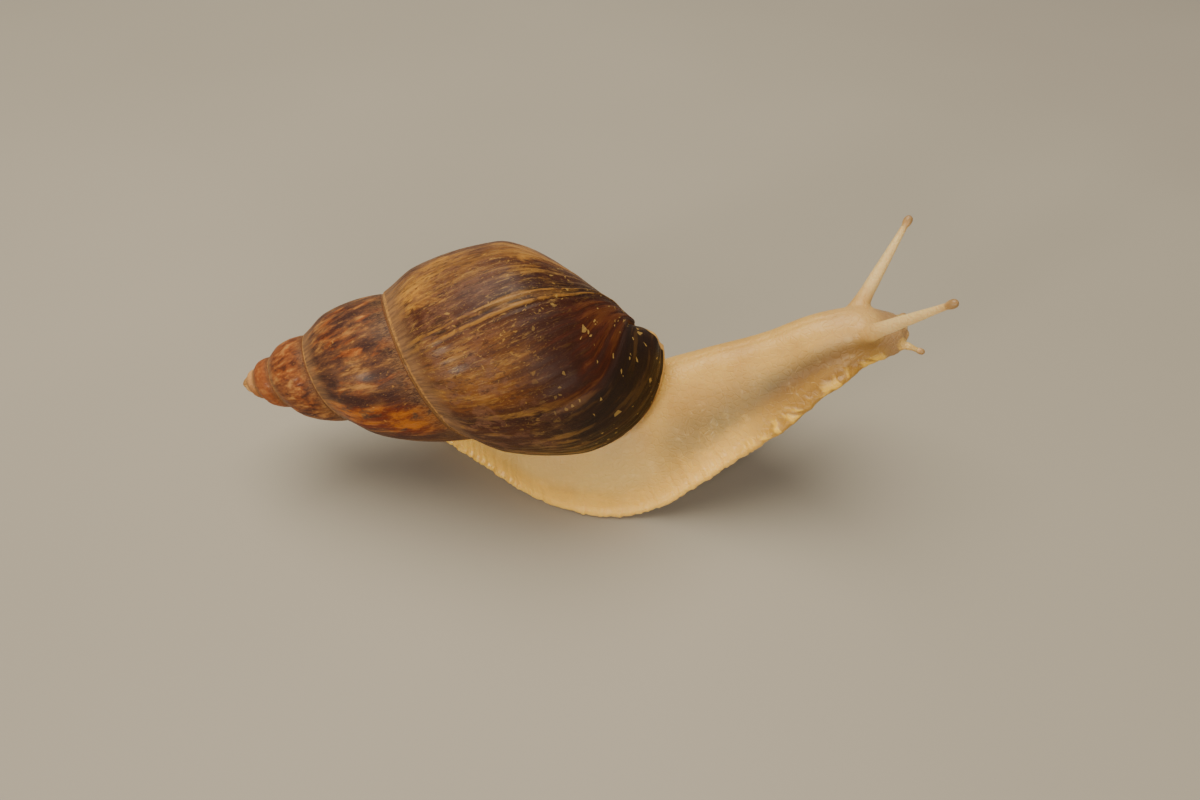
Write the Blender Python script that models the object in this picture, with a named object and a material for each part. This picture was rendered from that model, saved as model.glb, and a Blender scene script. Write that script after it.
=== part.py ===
"""Giant African land snail with a cream body, life size, creeping with its neck raised.

The animal faces +X with its right side towards -Y. Its sole lies on the plane Z = 0,
and the origin is on the flat sole, below the front of the shell. The shell is a right-handed
spiral, worked out turn by turn from the growth laws below, and parted along its sutures.
The soft body is lofted along a curved mid-line of the sole. Each piece that reaches a
neighbour is cut by a slightly grown copy of it, so thin gaps part them and none overlap.
"""

import math
from typing import NamedTuple

import bmesh
import bpy
from mathutils import Matrix, Vector

MM = 0.001
GAP = 0.3 * MM  # clearance between neighbouring pieces

# ---------------------------------------------------------------- shell, driving sizes
APEX = Vector((-74.3, 1.4, 23.7)) * MM  # tip of the spire
DROOP = math.radians(8.9)  # how far the spire hangs below the level
SWING = math.radians(2.6)  # how far the spire swings to the animal's right
LIP_ANGLE = math.radians(-43.0)  # lip's place round the axis, up from the right side
SUTURE_END = 51.1 * MM  # suture's distance from the apex where it meets the lip
SUTURE_GROWTH = 2.16  # growth of that distance in one turn
SUTURE_RADIUS = 19.2 * MM  # radius at the suture where it meets the lip
SUTURE_POWER = 0.693  # radius grows as this power of the distance: a domed spire
TURNS = 5.2  # turns from the nucleus to the lip

# The last turn. Each pair is the value at the lip and one whole turn before it.
WIDEST = (24.95 * MM, 19.2 * MM)  # greatest radius
WIDEST_AT = (73.8 * MM, 52.0 * MM)  # its distance from the apex
BASE_AT = (94.5 * MM, 77.5 * MM)  # distance of the base from the apex
BASE_RADIUS = (5.0 * MM, 0.95 * MM)
BASE_CURVE = (1.72, 1.54)  # how late the narrowing to the base begins
BASE_POWER = (0.46, 0.88)  # how blunt the base is
COLUMELLA_AT = 80.3 * MM  # end of the column that the whorls wind round
LIP_FLARE = 0.75 * MM  # extra radius right behind the lip
ROW_END = 0.97  # share of the upper arc that the next turn leaves bare
UPPER_POWER = 0.6  # how full the whorl is right below the suture
BULGE = 0.03  # how far a whorl swells over its arc, as a share of its radius

LIP_TURN = 0.045  # the lip band's share of a turn
LIP_WALL = 1.1 * MM
PARTING_TURN = 0.004  # clearance between whorls where a turn ends, as a share of a turn

# Mesh fineness of the shell
STEPS = 36  # columns in one turn
ROWS = 5  # rows from one suture to the next
BASE_ROWS = 9  # further rows on the last turn
END_ROW = ROWS + BASE_ROWS
LAST_COLUMN = round(TURNS * STEPS)

# ---------------------------------------------------------------- body, driving sizes
# The sole's mid-line: distances s along it in mm, with its slope and heading there in degrees.
RISE_START = Vector((6.0, 0.0, 0.0))  # mm; here s is 0 and the sole starts to rise
SLOPE = ((0, 0), (22, 42), (54, 41), (70, 16))
LEAN = ((-16, 0), (42, 42), (54, 41), (70, 16))  # slope that the sections are square to
HEADING = ((-26, -26), (3, 0), (60, 0), (76, 3))
WALK_STEP = 0.25  # mm


class Station(NamedTuple):
    """A cross-section of the body, in millimetres; s is the distance along the sole."""

    s: float
    foot: float  # half-width of the foot
    flank: float  # half-width of the body where it stands on the foot
    back: float  # half-width of the back above that
    bottom: float  # height of the body's underside above the sole; the foot fills it
    height: float  # height of the back above the sole


BODY = (
    Station(-62, 1.0, 0.6, 0.4, 0.9, 1.6),
    Station(-55, 3.0, 2.4, 1.9, 1.2, 3.2),
    Station(-45, 5.8, 5.2, 4.2, 1.5, 5.6),
    Station(-33, 8.4, 7.6, 6.8, 1.8, 9.0),
    Station(-21, 11.0, 10.2, 9.8, 2.1, 14.0),
    Station(-10, 15.4, 15.0, 14.1, 2.3, 19.8),
    Station(0, 18.2, 17.5, 15.4, 2.4, 23.2),
    Station(10, 18.2, 17.4, 14.2, 2.4, 23.9),
    Station(20, 17.4, 16.6, 11.6, 2.3, 22.6),
    Station(31, 16.4, 15.6, 9.4, 2.2, 21.0),
    Station(42, 15.0, 13.9, 7.7, 2.1, 17.7),
    Station(53, 13.0, 12.4, 6.6, 2.0, 13.5),
    Station(62, 9.7, 8.8, 6.3, 1.9, 11.5),
    Station(68, 5.8, 6.4, 5.9, 1.8, 10.3),
    Station(71.5, 2.6, 5.7, 5.5, 1.8, 8.6),
    Station(74, 1.0, 5.3, 4.9, 1.8, 6.9),
    Station(75.8, 1.0, 3.9, 3.8, 2.1, 5.9),
    Station(76.9, 1.0, 1.3, 1.6, 3.2, 4.6),
)
FLANK_FLARE = 3.0  # power of the flank's spread towards the foot
BACK_ROUNDNESS = 2.2  # power of the back's arch; 2 is an ellipse

# Pieces of the body from tail to muzzle, by the places of the cuts between them
SOLE_CUTS = (("sole_tail", -62, -36), ("sole_rear", -36, -10), ("sole_middle", -10, 16))
SOLE_CUTS += (("sole_front", 16, 46), ("sole_tip", 46, 71.3))
BACK_CUTS = (("tail", -62, -33), ("back_rear", -33, -8), ("back_front", -8, 18))
BACK_CUTS += (("neck_lower", 18, 42), ("neck_upper", 42, 62), ("head", 62, 76.9))
RING_SPACING = 3.2  # mm along the sole
ARCH_POINTS = 14


class Feeler(NamedTuple):
    """A tentacle of one side; lengths in mm, in the frame of the head at s."""

    s: float
    lateral: float
    up: float
    forward: float  # its direction, forward, outwards and upwards
    outward: float
    upward: float
    length: float
    radii: tuple  # from root to just under the bulb
    bulb: float  # radius of the bulb at its tip


UPPER_TENTACLE = Feeler(67.5, 3.2, 6.4, 0.67, 0.48, 0.57, 22.2, (2.4, 1.6, 1.25, 1.0, 0.75), 1.05)
LOWER_TENTACLE = Feeler(73.6, 3.2, 3.2, 0.81, 0.43, -0.40, 6.0, (1.0, 0.65, 0.5), 0.7)
LIP_LOBE = ((75.3, 1.6, 2.4), (1.9, 1.4, 1.3))  # place and half-sizes, mm
BULB_STRETCH = 1.2  # a bulb's length over its width
BULB_SEAT = 0.9  # a stalk ends this far from its bulb's middle, as a share of the half-length
UPPER_SPLIT = 0.45  # share of an upper tentacle's length in its lower piece
STALK_RINGS = 7
SIDES = (("right", 1), ("left", -1))


def smoothstep(x):
    x = min(1.0, max(0.0, x))
    return x * x * (3 - 2 * x)


def eased(keys, s):
    """Value at s of a list of (place, value) pairs, easing from each to the next."""
    if s <= keys[0][0]:
        return keys[0][1]
    for (start, low), (end, high) in zip(keys, keys[1:]):
        if s <= end:
            return low + (high - low) * smoothstep((s - start) / (end - start))
    return keys[-1][1]


def between(stations, s):
    """The stations' fields at s, on smooth curves through them (Catmull-Rom)."""
    last = len(stations) - 2
    i = min(last, max(0, sum(1 for station in stations if station.s <= s) - 1))
    p1, p2 = stations[i], stations[i + 1]
    p0 = stations[i - 1] if i > 0 else p1
    p3 = stations[i + 2] if i < last else p2
    t = (s - p1.s) / (p2.s - p1.s)
    values = []
    for a, b, c, d in zip(p0, p1, p2, p3):
        bend = (2 * a - 5 * b + 4 * c - d) * t * t + (3 * b - a - 3 * c + d) * t**3
        values.append(b + 0.5 * ((c - a) * t + bend))
    return type(p1)(*values)


def direction(s, slopes=SLOPE):
    slope = math.radians(eased(slopes, s))
    heading = math.radians(eased(HEADING, s))
    level = math.cos(slope)
    return Vector((level * math.cos(heading), level * math.sin(heading), math.sin(slope)))


def walk(s):
    """Place on the sole's mid-line, in mm, and the section's directions right and up."""
    steps = max(1, round(abs(s) / WALK_STEP))
    step = s / steps
    point = RISE_START.copy()
    for k in range(steps):
        point += direction((k + 0.5) * step) * step
    square_to = direction(s, LEAN)
    right = square_to.cross(Vector((0, 0, 1))).normalized()
    return point, right, right.cross(square_to)


def on_body(s, lateral, up):
    """World point at a distance along the sole, to the right of its mid-line and above it."""
    point, right, upward = walk(s)
    return (point + right * lateral + upward * up) * MM


# ---------------------------------------------------------------- shell laws
def whorl_law(pair, turns_back):
    """A size of the last turn, growing by the same factor in each step of turn."""
    at_lip, one_turn_before = pair
    return at_lip * (one_turn_before / at_lip) ** turns_back


def suture(turns_back):
    """The suture's distance from the apex and its radius."""
    along = SUTURE_END * SUTURE_GROWTH ** (-turns_back)
    return along, SUTURE_RADIUS * (along / SUTURE_END) ** SUTURE_POWER


def upper_arc(share):
    return math.sin(0.5 * math.pi * share) ** UPPER_POWER if share > 0 else 0.0


def profile(turns_back, row):
    """Distance from the apex and radius of one point of the whorl's outline.

    Rows 0 to ROWS run from the suture to where the next turn laps over this one. The
    rows after them are on the last turn alone, and end at its base.
    """
    start, radius = suture(turns_back)
    if row <= ROWS and turns_back >= 1:
        share = row / ROWS
        end, end_radius = suture(turns_back - 1)
        rise = upper_arc(ROW_END * share) / upper_arc(ROW_END)
        bulge = BULGE * radius * math.sin(math.pi * share)
        return start + (end - start) * share, radius + (end_radius - radius) * rise + bulge
    widest_at = whorl_law(WIDEST_AT, turns_back)
    base_at = whorl_law(BASE_AT, turns_back)
    flare = LIP_FLARE * max(0.0, 1 - turns_back) ** 8
    widest = whorl_law(WIDEST, turns_back) + flare
    shoulder = start + (widest_at - start) * ROW_END
    if row <= ROWS:
        along = start + (shoulder - start) * row / ROWS
    else:
        turning = math.sin(0.5 * math.pi * (row - ROWS) / BASE_ROWS) ** 0.9
        along = shoulder + (base_at - shoulder) * turning
    if along <= widest_at:
        share = (along - start) / (widest_at - start)
        bulge = BULGE * min(1.0, turns_back) * radius * math.sin(math.pi * share)
        return along, radius + (widest - radius) * upper_arc(share) + bulge
    fall = (along - widest_at) / (base_at - widest_at)
    slender = smoothstep(turns_back / 0.45)  # blunt at the lip, and more conical before it
    curve = BASE_CURVE[0] + (BASE_CURVE[1] - BASE_CURVE[0]) * slender
    power = BASE_POWER[0] + (BASE_POWER[1] - BASE_POWER[0]) * slender
    base_radius = whorl_law(BASE_RADIUS, turns_back)
    narrowing = max(0.0, 1 - fall**curve) ** power
    return along, base_radius + (widest - base_radius) * narrowing


LEVEL = math.cos(DROOP)
AXIS = Vector((LEVEL * math.cos(SWING), LEVEL * math.sin(SWING), math.sin(DROOP)))
SIDE = Vector((math.sin(SWING), -math.cos(SWING), 0))  # to the animal's right
RISE = SIDE.cross(AXIS)


def place(along, radius, turns_back):
    """World point at a distance along the shell's axis and a radius from it."""
    angle = LIP_ANGLE + 2 * math.pi * turns_back
    return APEX + AXIS * along + (SIDE * math.cos(angle) + RISE * math.sin(angle)) * radius


def nucleus(turns_back):
    """Place on the axis, inside the turn of suture that starts there."""
    return APEX + AXIS * suture(turns_back - 0.5)[0]


def shell_form(first, last, lip_at, growth=0.0):
    """A stretch of the shell's spiral strip between two columns, closed all round.

    Column 0 is at the aperture, a turn of lip_at behind the lip's edge. There the form
    is closed by the aperture's face and the base. A later first column is closed by a
    fan from the axis to the suture below it, a little clear of the turn before.
    """
    form = bmesh.new()
    parted = first > 0
    grid = {}
    for column in range(first, last + 1):
        turns_back = lip_at + column / STEPS
        if parted and column == first:
            turns_back += PARTING_TURN
        rows = END_ROW if column <= STEPS and not parted else ROWS
        for row in range(rows + 1):
            if row == ROWS and column - STEPS >= first:
                grid[column, row] = grid[column - STEPS, 0]
                continue
            along, radius = profile(turns_back, row)
            if parted and row == ROWS:
                along -= GAP
            along += growth * max(0, row - ROWS) / BASE_ROWS
            grid[column, row] = form.verts.new(place(along, radius + growth, turns_back))
    for column in range(first, last):
        rows = END_ROW if column < STEPS and not parted else ROWS
        for row in range(rows):
            corners = ((column, row), (column + 1, row), (column + 1, row + 1), (column, row + 1))
            form.faces.new([grid[key] for key in corners])
    if parted:
        hub = form.verts.new(nucleus(lip_at + first / STEPS) - AXIS * GAP)
        rim = [grid[first, row] for row in range(ROWS)]
        rim += [grid[first + k, ROWS] for k in range(STEPS)]
        close_fan(form, rim, hub)
    else:
        hub = form.verts.new(APEX + AXIS * (COLUMELLA_AT + growth))
        for column in range(STEPS):
            form.faces.new((grid[column + 1, END_ROW], hub, grid[column, END_ROW]))
        lip = [grid[0, row] for row in range(END_ROW + 1)]
        parietal = [grid[STEPS, row] for row in range(END_ROW, ROWS, -1)]
        form.faces.new([*lip, hub, *parietal])
    rim = [grid[last, row] for row in range(ROWS)]
    rim += [grid[last - k, 0] for k in range(STEPS, 0, -1)]
    tip = form.verts.new(APEX if last == LAST_COLUMN else nucleus(lip_at + last / STEPS))
    close_fan(form, rim, tip)
    return form


def close_fan(form, rim, hub):
    for k, corner in enumerate(rim):
        form.faces.new((corner, rim[(k + 1) % len(rim)], hub))


# ---------------------------------------------------------------- Blender helpers
def finished(form, name):
    """A closed form as a mesh object, with its faces turned outwards."""
    bmesh.ops.recalc_face_normals(form, faces=form.faces)
    bmesh.ops.triangulate(form, faces=[face for face in form.faces if len(face.verts) > 4])
    mesh = bpy.data.meshes.new(name)
    form.to_mesh(mesh)
    form.free()
    body = bpy.data.objects.new(name, mesh)
    bpy.context.scene.collection.objects.link(body)
    return body


def lofted(rings, name):
    """Closed solid through rings of equally many points, with a flat cap at each end."""
    form = bmesh.new()
    loops = [[form.verts.new(point) for point in ring] for ring in rings]
    count = len(loops[0])
    for near, far in zip(loops, loops[1:]):
        for k in range(count):
            form.faces.new((near[k], near[(k + 1) % count], far[(k + 1) % count], far[k]))
    form.faces.new(loops[0])
    form.faces.new(loops[-1])
    return finished(form, name)


def as_cutter(body):
    body.hide_render = True
    body.display_type = "WIRE"
    return body


def grown(body, distance, name):
    """A cutter: a copy of a body with its surface moved outwards."""
    form = bmesh.new()
    form.from_mesh(body.data)
    form.normal_update()
    shifts = [v.normal * distance * min(1.5, v.calc_shell_factor()) for v in form.verts]
    for vertex, shift in zip(form.verts, shifts):
        vertex.co += shift
    return as_cutter(finished(form, name))


def cut(body, *cutters):
    for cutter in cutters:
        modifier = body.modifiers.new("clearance to " + cutter.name, "BOOLEAN")
        modifier.operation = "DIFFERENCE"
        modifier.solver = "EXACT"
        modifier.object = cutter


# ---------------------------------------------------------------- shell pieces
LIP_ROWS = (0.4, *range(1, END_ROW + 1))  # the lip band starts a little below the suture
INNER_LEAN = 0.6  # the lip's inside lies this much nearer the apex, in walls
COLLAR_COLUMNS = 12
COLLAR_RINGS = ((0.035, 0.0), (0.0, 0.0), (-0.008, 0.03), (-0.013, 0.12), (-0.015, 0.25))


def lip_band():
    """The thin outer lip: a band that stands on past the closed part of the shell."""
    rings = []
    for row in LIP_ROWS:
        back = LIP_TURN - GAP / (2 * math.pi * profile(0, row)[1])
        outside = []
        inside = []
        for turns_back in (0, back / 2, back):
            along, radius = profile(turns_back, row)
            outside.append(place(along, radius, turns_back))
            inner_along = along - INNER_LEAN * LIP_WALL
            inside.append(place(inner_along, radius - LIP_WALL, turns_back))
        rings.append(outside + inside[::-1])
    return lofted(rings, "shell_lip")


def collar():
    """The mantle's edge: it fills the aperture inside the lip band and swells out of it."""
    rings = []
    for turns_back, shrink in COLLAR_RINGS:
        outside = []
        inside = []
        for column in range(COLLAR_COLUMNS + 1):
            share = column / COLLAR_COLUMNS
            along, radius = profile(max(0, turns_back), 0.6 + (END_ROW - 0.6) * share)
            far = Vector((along - INNER_LEAN * LIP_WALL - GAP, radius - LIP_WALL - GAP))
            along, radius = profile(1 + turns_back, ROWS + 0.3 + (BASE_ROWS - 0.3) * share)
            near = Vector((along + GAP, radius + GAP))
            outside.append(place(*far.lerp(near, shrink), turns_back))
            inside.append(place(*near.lerp(far, shrink), turns_back))
        rings.append(outside + inside[::-1])
    return lofted(rings, "mantle_collar")


def shell_whorls():
    """The shell behind its lip band, parted along the suture into its whorls."""
    names = ("shell_body_whorl", "shell_penultimate_whorl", "shell_third_whorl", "shell_apex")
    pieces = []
    for turn, name in enumerate(names):
        last = (turn + 1) * STEPS if turn + 1 < len(names) else LAST_COLUMN
        pieces.append(finished(shell_form(turn * STEPS, last, LIP_TURN), name))
    return pieces


# ---------------------------------------------------------------- body pieces
def places_along(start, end):
    count = max(2, math.ceil((end - start) / RING_SPACING))
    return [start + (end - start) * k / count for k in range(count + 1)]


def sole_ring(s):
    at = between(BODY, s)
    thick = at.bottom - GAP / MM
    edge = min(0.45 * thick, 0.4 * at.foot)
    half = ((0.0, 0.0), (at.foot - edge, 0.0), (at.foot, 0.5 * thick), (at.foot - edge, thick))
    right = [on_body(s, lateral, up) for lateral, up in half]
    left = [on_body(s, -lateral, up) for lateral, up in half[:0:-1]]
    return [*right, on_body(s, 0, thick), *left]


def back_ring(s):
    at = between(BODY, s)
    ring = []
    for k in range(ARCH_POINTS + 1):
        turn = math.pi * k / ARCH_POINTS
        rise = abs(math.sin(turn))
        width = at.back * (1 - rise**BACK_ROUNDNESS) ** (1 / BACK_ROUNDNESS)
        width += (at.flank - at.back) * (1 - rise) ** FLANK_FLARE
        up = at.bottom + (at.height - at.bottom) * rise
        ring.append(on_body(s, math.copysign(width, math.cos(turn)), up))
    return [*ring, on_body(s, 0, at.bottom)]


def body_length(name, start, end, ring_at):
    half_gap = GAP / MM / 2
    rings = [ring_at(s) for s in places_along(start + half_gap, end - half_gap)]
    return lofted(rings, name)


def head_frame(s, side):
    """The head's axes at s: forward, outwards on one side, and upwards."""
    forward = direction(s)
    _, right, upward = walk(s)
    return forward, right * side, upward


def tube(points, radii, name, sides=10):
    """A round tapered tube through points, rounded off at its far end."""
    rings = []
    for k, (point, radius) in enumerate(zip(points, radii)):
        ahead = (points[min(k + 1, len(points) - 1)] - points[max(k - 1, 0)]).normalized()
        across = ahead.cross(Vector((0, 1, 0))).normalized()
        upright = ahead.cross(across)
        turns = [2 * math.pi * j / sides for j in range(sides)]
        rings.append([point + (across * math.cos(t) + upright * math.sin(t)) * radius for t in turns])
    return lofted(rings, name)


def feeler_line(feeler, side):
    """Root and direction of a tentacle."""
    forward, outward, upward = head_frame(feeler.s, side)
    aim = forward * feeler.forward + outward * feeler.outward + upward * feeler.upward
    return on_body(feeler.s, feeler.lateral * side, feeler.up), aim.normalized()


def stalk(feeler, side, start, end, name):
    """The part of a tentacle between two shares of its length."""
    root, aim = feeler_line(feeler, side)
    length = feeler.length * MM
    shares = [start + (end - start) * k / (STALK_RINGS - 1) for k in range(STALK_RINGS)]
    radii = []
    for share in shares:
        place_in_list = share * (len(feeler.radii) - 1)
        k = min(int(place_in_list), len(feeler.radii) - 2)
        low, high = feeler.radii[k : k + 2]
        radii.append((low + (high - low) * (place_in_list - k)) * MM)
    return tube([root + aim * length * share for share in shares], radii, name)


def ellipsoid(centre, half_sizes, axes, name, segments=14, rings=8):
    """An ellipsoid with its own axes, forward, outward and upward."""
    form = bmesh.new()
    turned = Matrix([axis * size for axis, size in zip(axes, half_sizes)]).transposed()
    matrix = Matrix.Translation(centre) @ turned.to_4x4()
    bmesh.ops.create_uvsphere(form, u_segments=segments, v_segments=rings, radius=1, matrix=matrix)
    return finished(form, name)


def bulb(feeler, side, name):
    """The rounded tip of a tentacle."""
    root, aim = feeler_line(feeler, side)
    radius = feeler.bulb * MM
    across = aim.cross(Vector((0, 0, 1))).normalized()
    axes = (aim, across, aim.cross(across))
    centre = root + aim * feeler.length * MM
    return ellipsoid(centre, (radius * BULB_STRETCH, radius, radius), axes, name)


def stalk_end(feeler):
    """Share of a tentacle's length at which its stalk stops under the bulb."""
    reach = BULB_STRETCH * feeler.bulb * BULB_SEAT + GAP / MM
    return 1 - reach / feeler.length


def tentacles():
    """Both pairs of tentacles: the upper ones in two lengths and an eye bulb."""
    pieces = []
    for name, side in SIDES:
        half_gap = GAP / MM / UPPER_TENTACLE.length / 2
        lower_end = UPPER_SPLIT - half_gap
        upper_start = UPPER_SPLIT + half_gap
        neck = stalk_end(UPPER_TENTACLE)
        pieces.append(stalk(UPPER_TENTACLE, side, 0, lower_end, f"tentacle_base_{name}"))
        pieces.append(stalk(UPPER_TENTACLE, side, upper_start, neck, f"tentacle_stalk_{name}"))
        pieces.append(bulb(UPPER_TENTACLE, side, f"eye_bulb_{name}"))
        neck = stalk_end(LOWER_TENTACLE)
        pieces.append(stalk(LOWER_TENTACLE, side, 0, neck, f"lower_tentacle_{name}"))
        pieces.append(bulb(LOWER_TENTACLE, side, f"lower_tentacle_tip_{name}"))
    return pieces


def mouth_lips():
    """The two lobes of the mouth, under the muzzle."""
    (s, lateral, up), sizes = LIP_LOBE
    pieces = []
    for name, side in SIDES:
        axes = head_frame(s, side)
        half_sizes = [size * MM for size in sizes]
        centre = on_body(s, lateral * side, up)
        pieces.append(ellipsoid(centre, half_sizes, axes, f"mouth_lip_{name}"))
    return pieces


# ---------------------------------------------------------------- materials
def material(name, colour, roughness):
    """A Principled material of one colour."""
    made = bpy.data.materials.new(name)
    made.use_nodes = True
    shader = made.node_tree.nodes["Principled BSDF"]
    shader.inputs["Base Color"].default_value = (*colour, 1)
    shader.inputs["Roughness"].default_value = roughness
    made.diffuse_color = (*colour, 1)
    return made


def paint(pieces, finish):
    for piece in pieces:
        piece.data.materials.append(finish)


# ---------------------------------------------------------------- the whole animal
def build():
    """Builds every piece, and cuts each one clear of the pieces it reaches."""
    for leftover in list(bpy.data.objects):
        bpy.data.objects.remove(leftover)
    whorls = shell_whorls()
    lip = lip_band()
    mantle = collar()
    soles = [body_length(name, start, end, sole_ring) for name, start, end in SOLE_CUTS]
    backs = [body_length(name, start, end, back_ring) for name, start, end in BACK_CUTS]
    head = backs[-1]
    feelers = tentacles()
    lips = mouth_lips()

    shell_clearance = finished(shell_form(0, LAST_COLUMN, -PARTING_TURN, GAP), "shell_clearance")
    as_cutter(shell_clearance)
    collar_clearance = grown(mantle, GAP, "collar_clearance")
    head_clearance = grown(head, GAP, "head_clearance")
    for back in backs[:-1]:
        cut(back, shell_clearance, collar_clearance)
    for piece in feelers + lips:
        if "base" in piece.name or "lower_tentacle" in piece.name or "lip" in piece.name:
            cut(piece, head_clearance)

    shell_finish = material("shell_brown", (0.16, 0.06, 0.025), 0.35)
    flesh_finish = material("flesh_cream", (0.72, 0.55, 0.33), 0.45)
    bulb_finish = material("bulb_tan", (0.50, 0.28, 0.12), 0.4)
    bulbs = [piece for piece in feelers if "bulb" in piece.name or "tip" in piece.name]
    stalks = [piece for piece in feelers if piece not in bulbs]
    paint([*whorls, lip], shell_finish)
    paint([mantle, *soles, *backs, *stalks, *lips], flesh_finish)
    paint(bulbs, bulb_finish)


build()
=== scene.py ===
"""Looks of the giant African land snail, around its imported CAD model.

The laws of the shell and the stations of the body are those of the CAD source, in
millimetres. One skin replaces every solid of flesh, one shell replaces its parted whorls,
and the bulbs at the tips of the tentacles are pieces of their own.
"""

import math
from typing import NamedTuple

import bmesh
import bpy
import numpy as np
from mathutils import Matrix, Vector, noise


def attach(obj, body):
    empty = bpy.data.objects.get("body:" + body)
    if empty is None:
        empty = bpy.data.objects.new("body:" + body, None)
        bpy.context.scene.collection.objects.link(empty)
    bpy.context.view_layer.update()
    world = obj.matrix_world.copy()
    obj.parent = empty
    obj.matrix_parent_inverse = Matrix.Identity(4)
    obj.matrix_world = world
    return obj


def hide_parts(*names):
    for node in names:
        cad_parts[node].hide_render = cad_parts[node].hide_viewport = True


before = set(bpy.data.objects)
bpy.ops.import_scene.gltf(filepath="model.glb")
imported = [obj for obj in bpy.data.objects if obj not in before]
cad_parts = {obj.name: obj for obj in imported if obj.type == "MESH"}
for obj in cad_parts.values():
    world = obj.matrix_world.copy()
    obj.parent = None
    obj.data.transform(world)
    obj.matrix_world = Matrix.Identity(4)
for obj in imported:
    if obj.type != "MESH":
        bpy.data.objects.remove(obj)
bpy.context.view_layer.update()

MM = 0.001
TAU = 2 * math.pi
SEED = 11

# ---------------------------------------------------------------- shell, driving sizes, mm
# Pairs are sizes at the lip and one whole turn before it.
APEX = np.array([-74.3, 1.4, 23.7])
DROOP = math.radians(8.9)
SWING = math.radians(2.6)
LIP_ANGLE = math.radians(-43.0)
SUTURE_END = 51.1
SUTURE_GROWTH = 2.16
SUTURE_RADIUS = 19.2
SUTURE_POWER = 0.693
WIDEST = (24.95, 19.2)
WIDEST_AT = (73.8, 52.0)
BASE_AT = (94.5, 77.5)
BASE_RADIUS = (5.0, 0.95)
BASE_CURVE = (1.72, 1.54)
BASE_POWER = (0.46, 0.88)
COLUMELLA_AT = 80.3
LIP_FLARE = 0.75
ROW_END = 0.97  # share of the way to the widest circle that the last upper row reaches
UPPER_POWER = 0.6
BULGE = 0.03
ROWS = 5  # from one suture to the next
BASE_ROWS = 9  # from there over the base of the last whorl
END_ROW = ROWS + BASE_ROWS

# Mesh of the shell
STEPS = 480  # columns in one turn
TURNS = 5.2
COLUMNS = round(TURNS * STEPS)
ARC_FINENESS = 44  # rows from one suture to the next
BASE_FINENESS = 76  # further rows on the last turn
APERTURE_COLUMNS = 22  # depth of the open mouth behind the lip
LIP_EDGE = 0.45  # mm, thickness of the lip's edge
LIP_WALL = 1.0  # mm, further in
LIP_TAPER = 0.02  # turns over which it thickens
WALL_SHARE = 0.45  # the most of the mouth's width that the wall takes
IN_MOUTH = 30.0  # mm from the suture, as the material reads it inside the mouth
AT_COLUMN = 60.0  # and at the column's end
DOME_RINGS = 5
DOME_POWER = 1.7

# ---------------------------------------------------------------- body, driving sizes, mm
RISE_START = np.array([6.0, 0.0, 0.0])
SLOPE = ((0, 0), (22, 42), (54, 41), (70, 16))
LEAN = ((-16, 0), (42, 42), (54, 41), (70, 16))
HEADING = ((-26, -26), (3, 0), (60, 0), (76, 3))
TAIL_END = -62.0
MUZZLE_END = 76.9
WALK_STEP = 0.25

# s, half-widths of foot, flank and back, height of the foot's top, height of the back
BODY = np.array(
    (
        (-62, 1.0, 0.6, 0.4, 0.9, 1.6),
        (-55, 3.0, 2.4, 1.9, 1.2, 3.2),
        (-45, 5.8, 5.2, 4.2, 1.5, 5.6),
        (-33, 8.4, 7.6, 6.8, 1.8, 9.0),
        (-21, 11.0, 10.2, 9.8, 2.1, 14.0),
        (-10, 15.4, 15.0, 14.1, 2.3, 19.8),
        (0, 18.2, 17.5, 15.4, 2.4, 23.2),
        (10, 18.2, 17.4, 14.2, 2.4, 23.9),
        (20, 17.4, 16.6, 11.6, 2.3, 22.6),
        (31, 16.4, 15.6, 9.4, 2.2, 21.0),
        (42, 15.0, 13.9, 7.7, 2.1, 17.7),
        (53, 13.0, 12.4, 6.6, 2.0, 13.5),
        (62, 9.7, 8.8, 6.3, 1.9, 11.5),
        (68, 5.8, 6.4, 5.9, 1.8, 10.3),
        (71.5, 2.6, 5.7, 5.5, 1.8, 8.6),
        (74, 1.0, 5.3, 4.9, 1.8, 6.9),
        (75.8, 1.0, 3.9, 3.8, 2.1, 5.9),
        (76.9, 1.0, 1.3, 1.6, 3.2, 4.6),
    ),
    dtype=float,
)
FLANK_FLARE = 3.0
BACK_ROUNDNESS = 2.2
SOLE_END = 71.3
RING_STEP = 0.8


class Feeler(NamedTuple):
    """A tentacle of one side; lengths in mm, in the frame of the head at s."""

    s: float
    lateral: float
    up: float
    aim: tuple  # forward, outwards, upwards
    length: float
    radii: tuple  # from root to just under the bulb
    bulb: float  # radius of the bulb
    skin_reach: float  # how far from its axis the skin is its own
    blend: tuple  # where it is smoothed into the head: share of its length, and reach


UPPER_TENTACLE = Feeler(
    67.5, 3.2, 6.4, (0.67, 0.48, 0.57), 22.2, (2.5, 1.68, 1.26, 0.94, 0.66), 0.92, 3.2, (0.12, 3.6)
)
LOWER_TENTACLE = Feeler(
    73.6, 3.2, 3.2, (0.81, 0.43, -0.40), 6.0, (0.9, 0.64, 0.5), 0.66, 1.4, (0.1, 1.6)
)
LIP_LOBE = ((75.3, 1.6, 2.4), (1.9, 1.4, 1.3))
ROOT_DEPTH = 0.16  # a tentacle's root goes on into the head by this share of its length
ROOT_WIDENING = 0.5  # share by which it is wider at that depth
STALK_POINTS = 40
FEELERS = (UPPER_TENTACLE, LOWER_TENTACLE)
SIDES = (("right", 1), ("left", -1))

VOXEL = 0.28  # mm, of the skin's remesh
SMOOTHING = 7  # passes over the whole skin
BLEND_PASSES = 46  # further passes where the tentacles and lips join the head
SMOOTHING_WEIGHT, BLEND_WEIGHT = 0.5, 0.6
NOISE_TABLE = 4096


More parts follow.
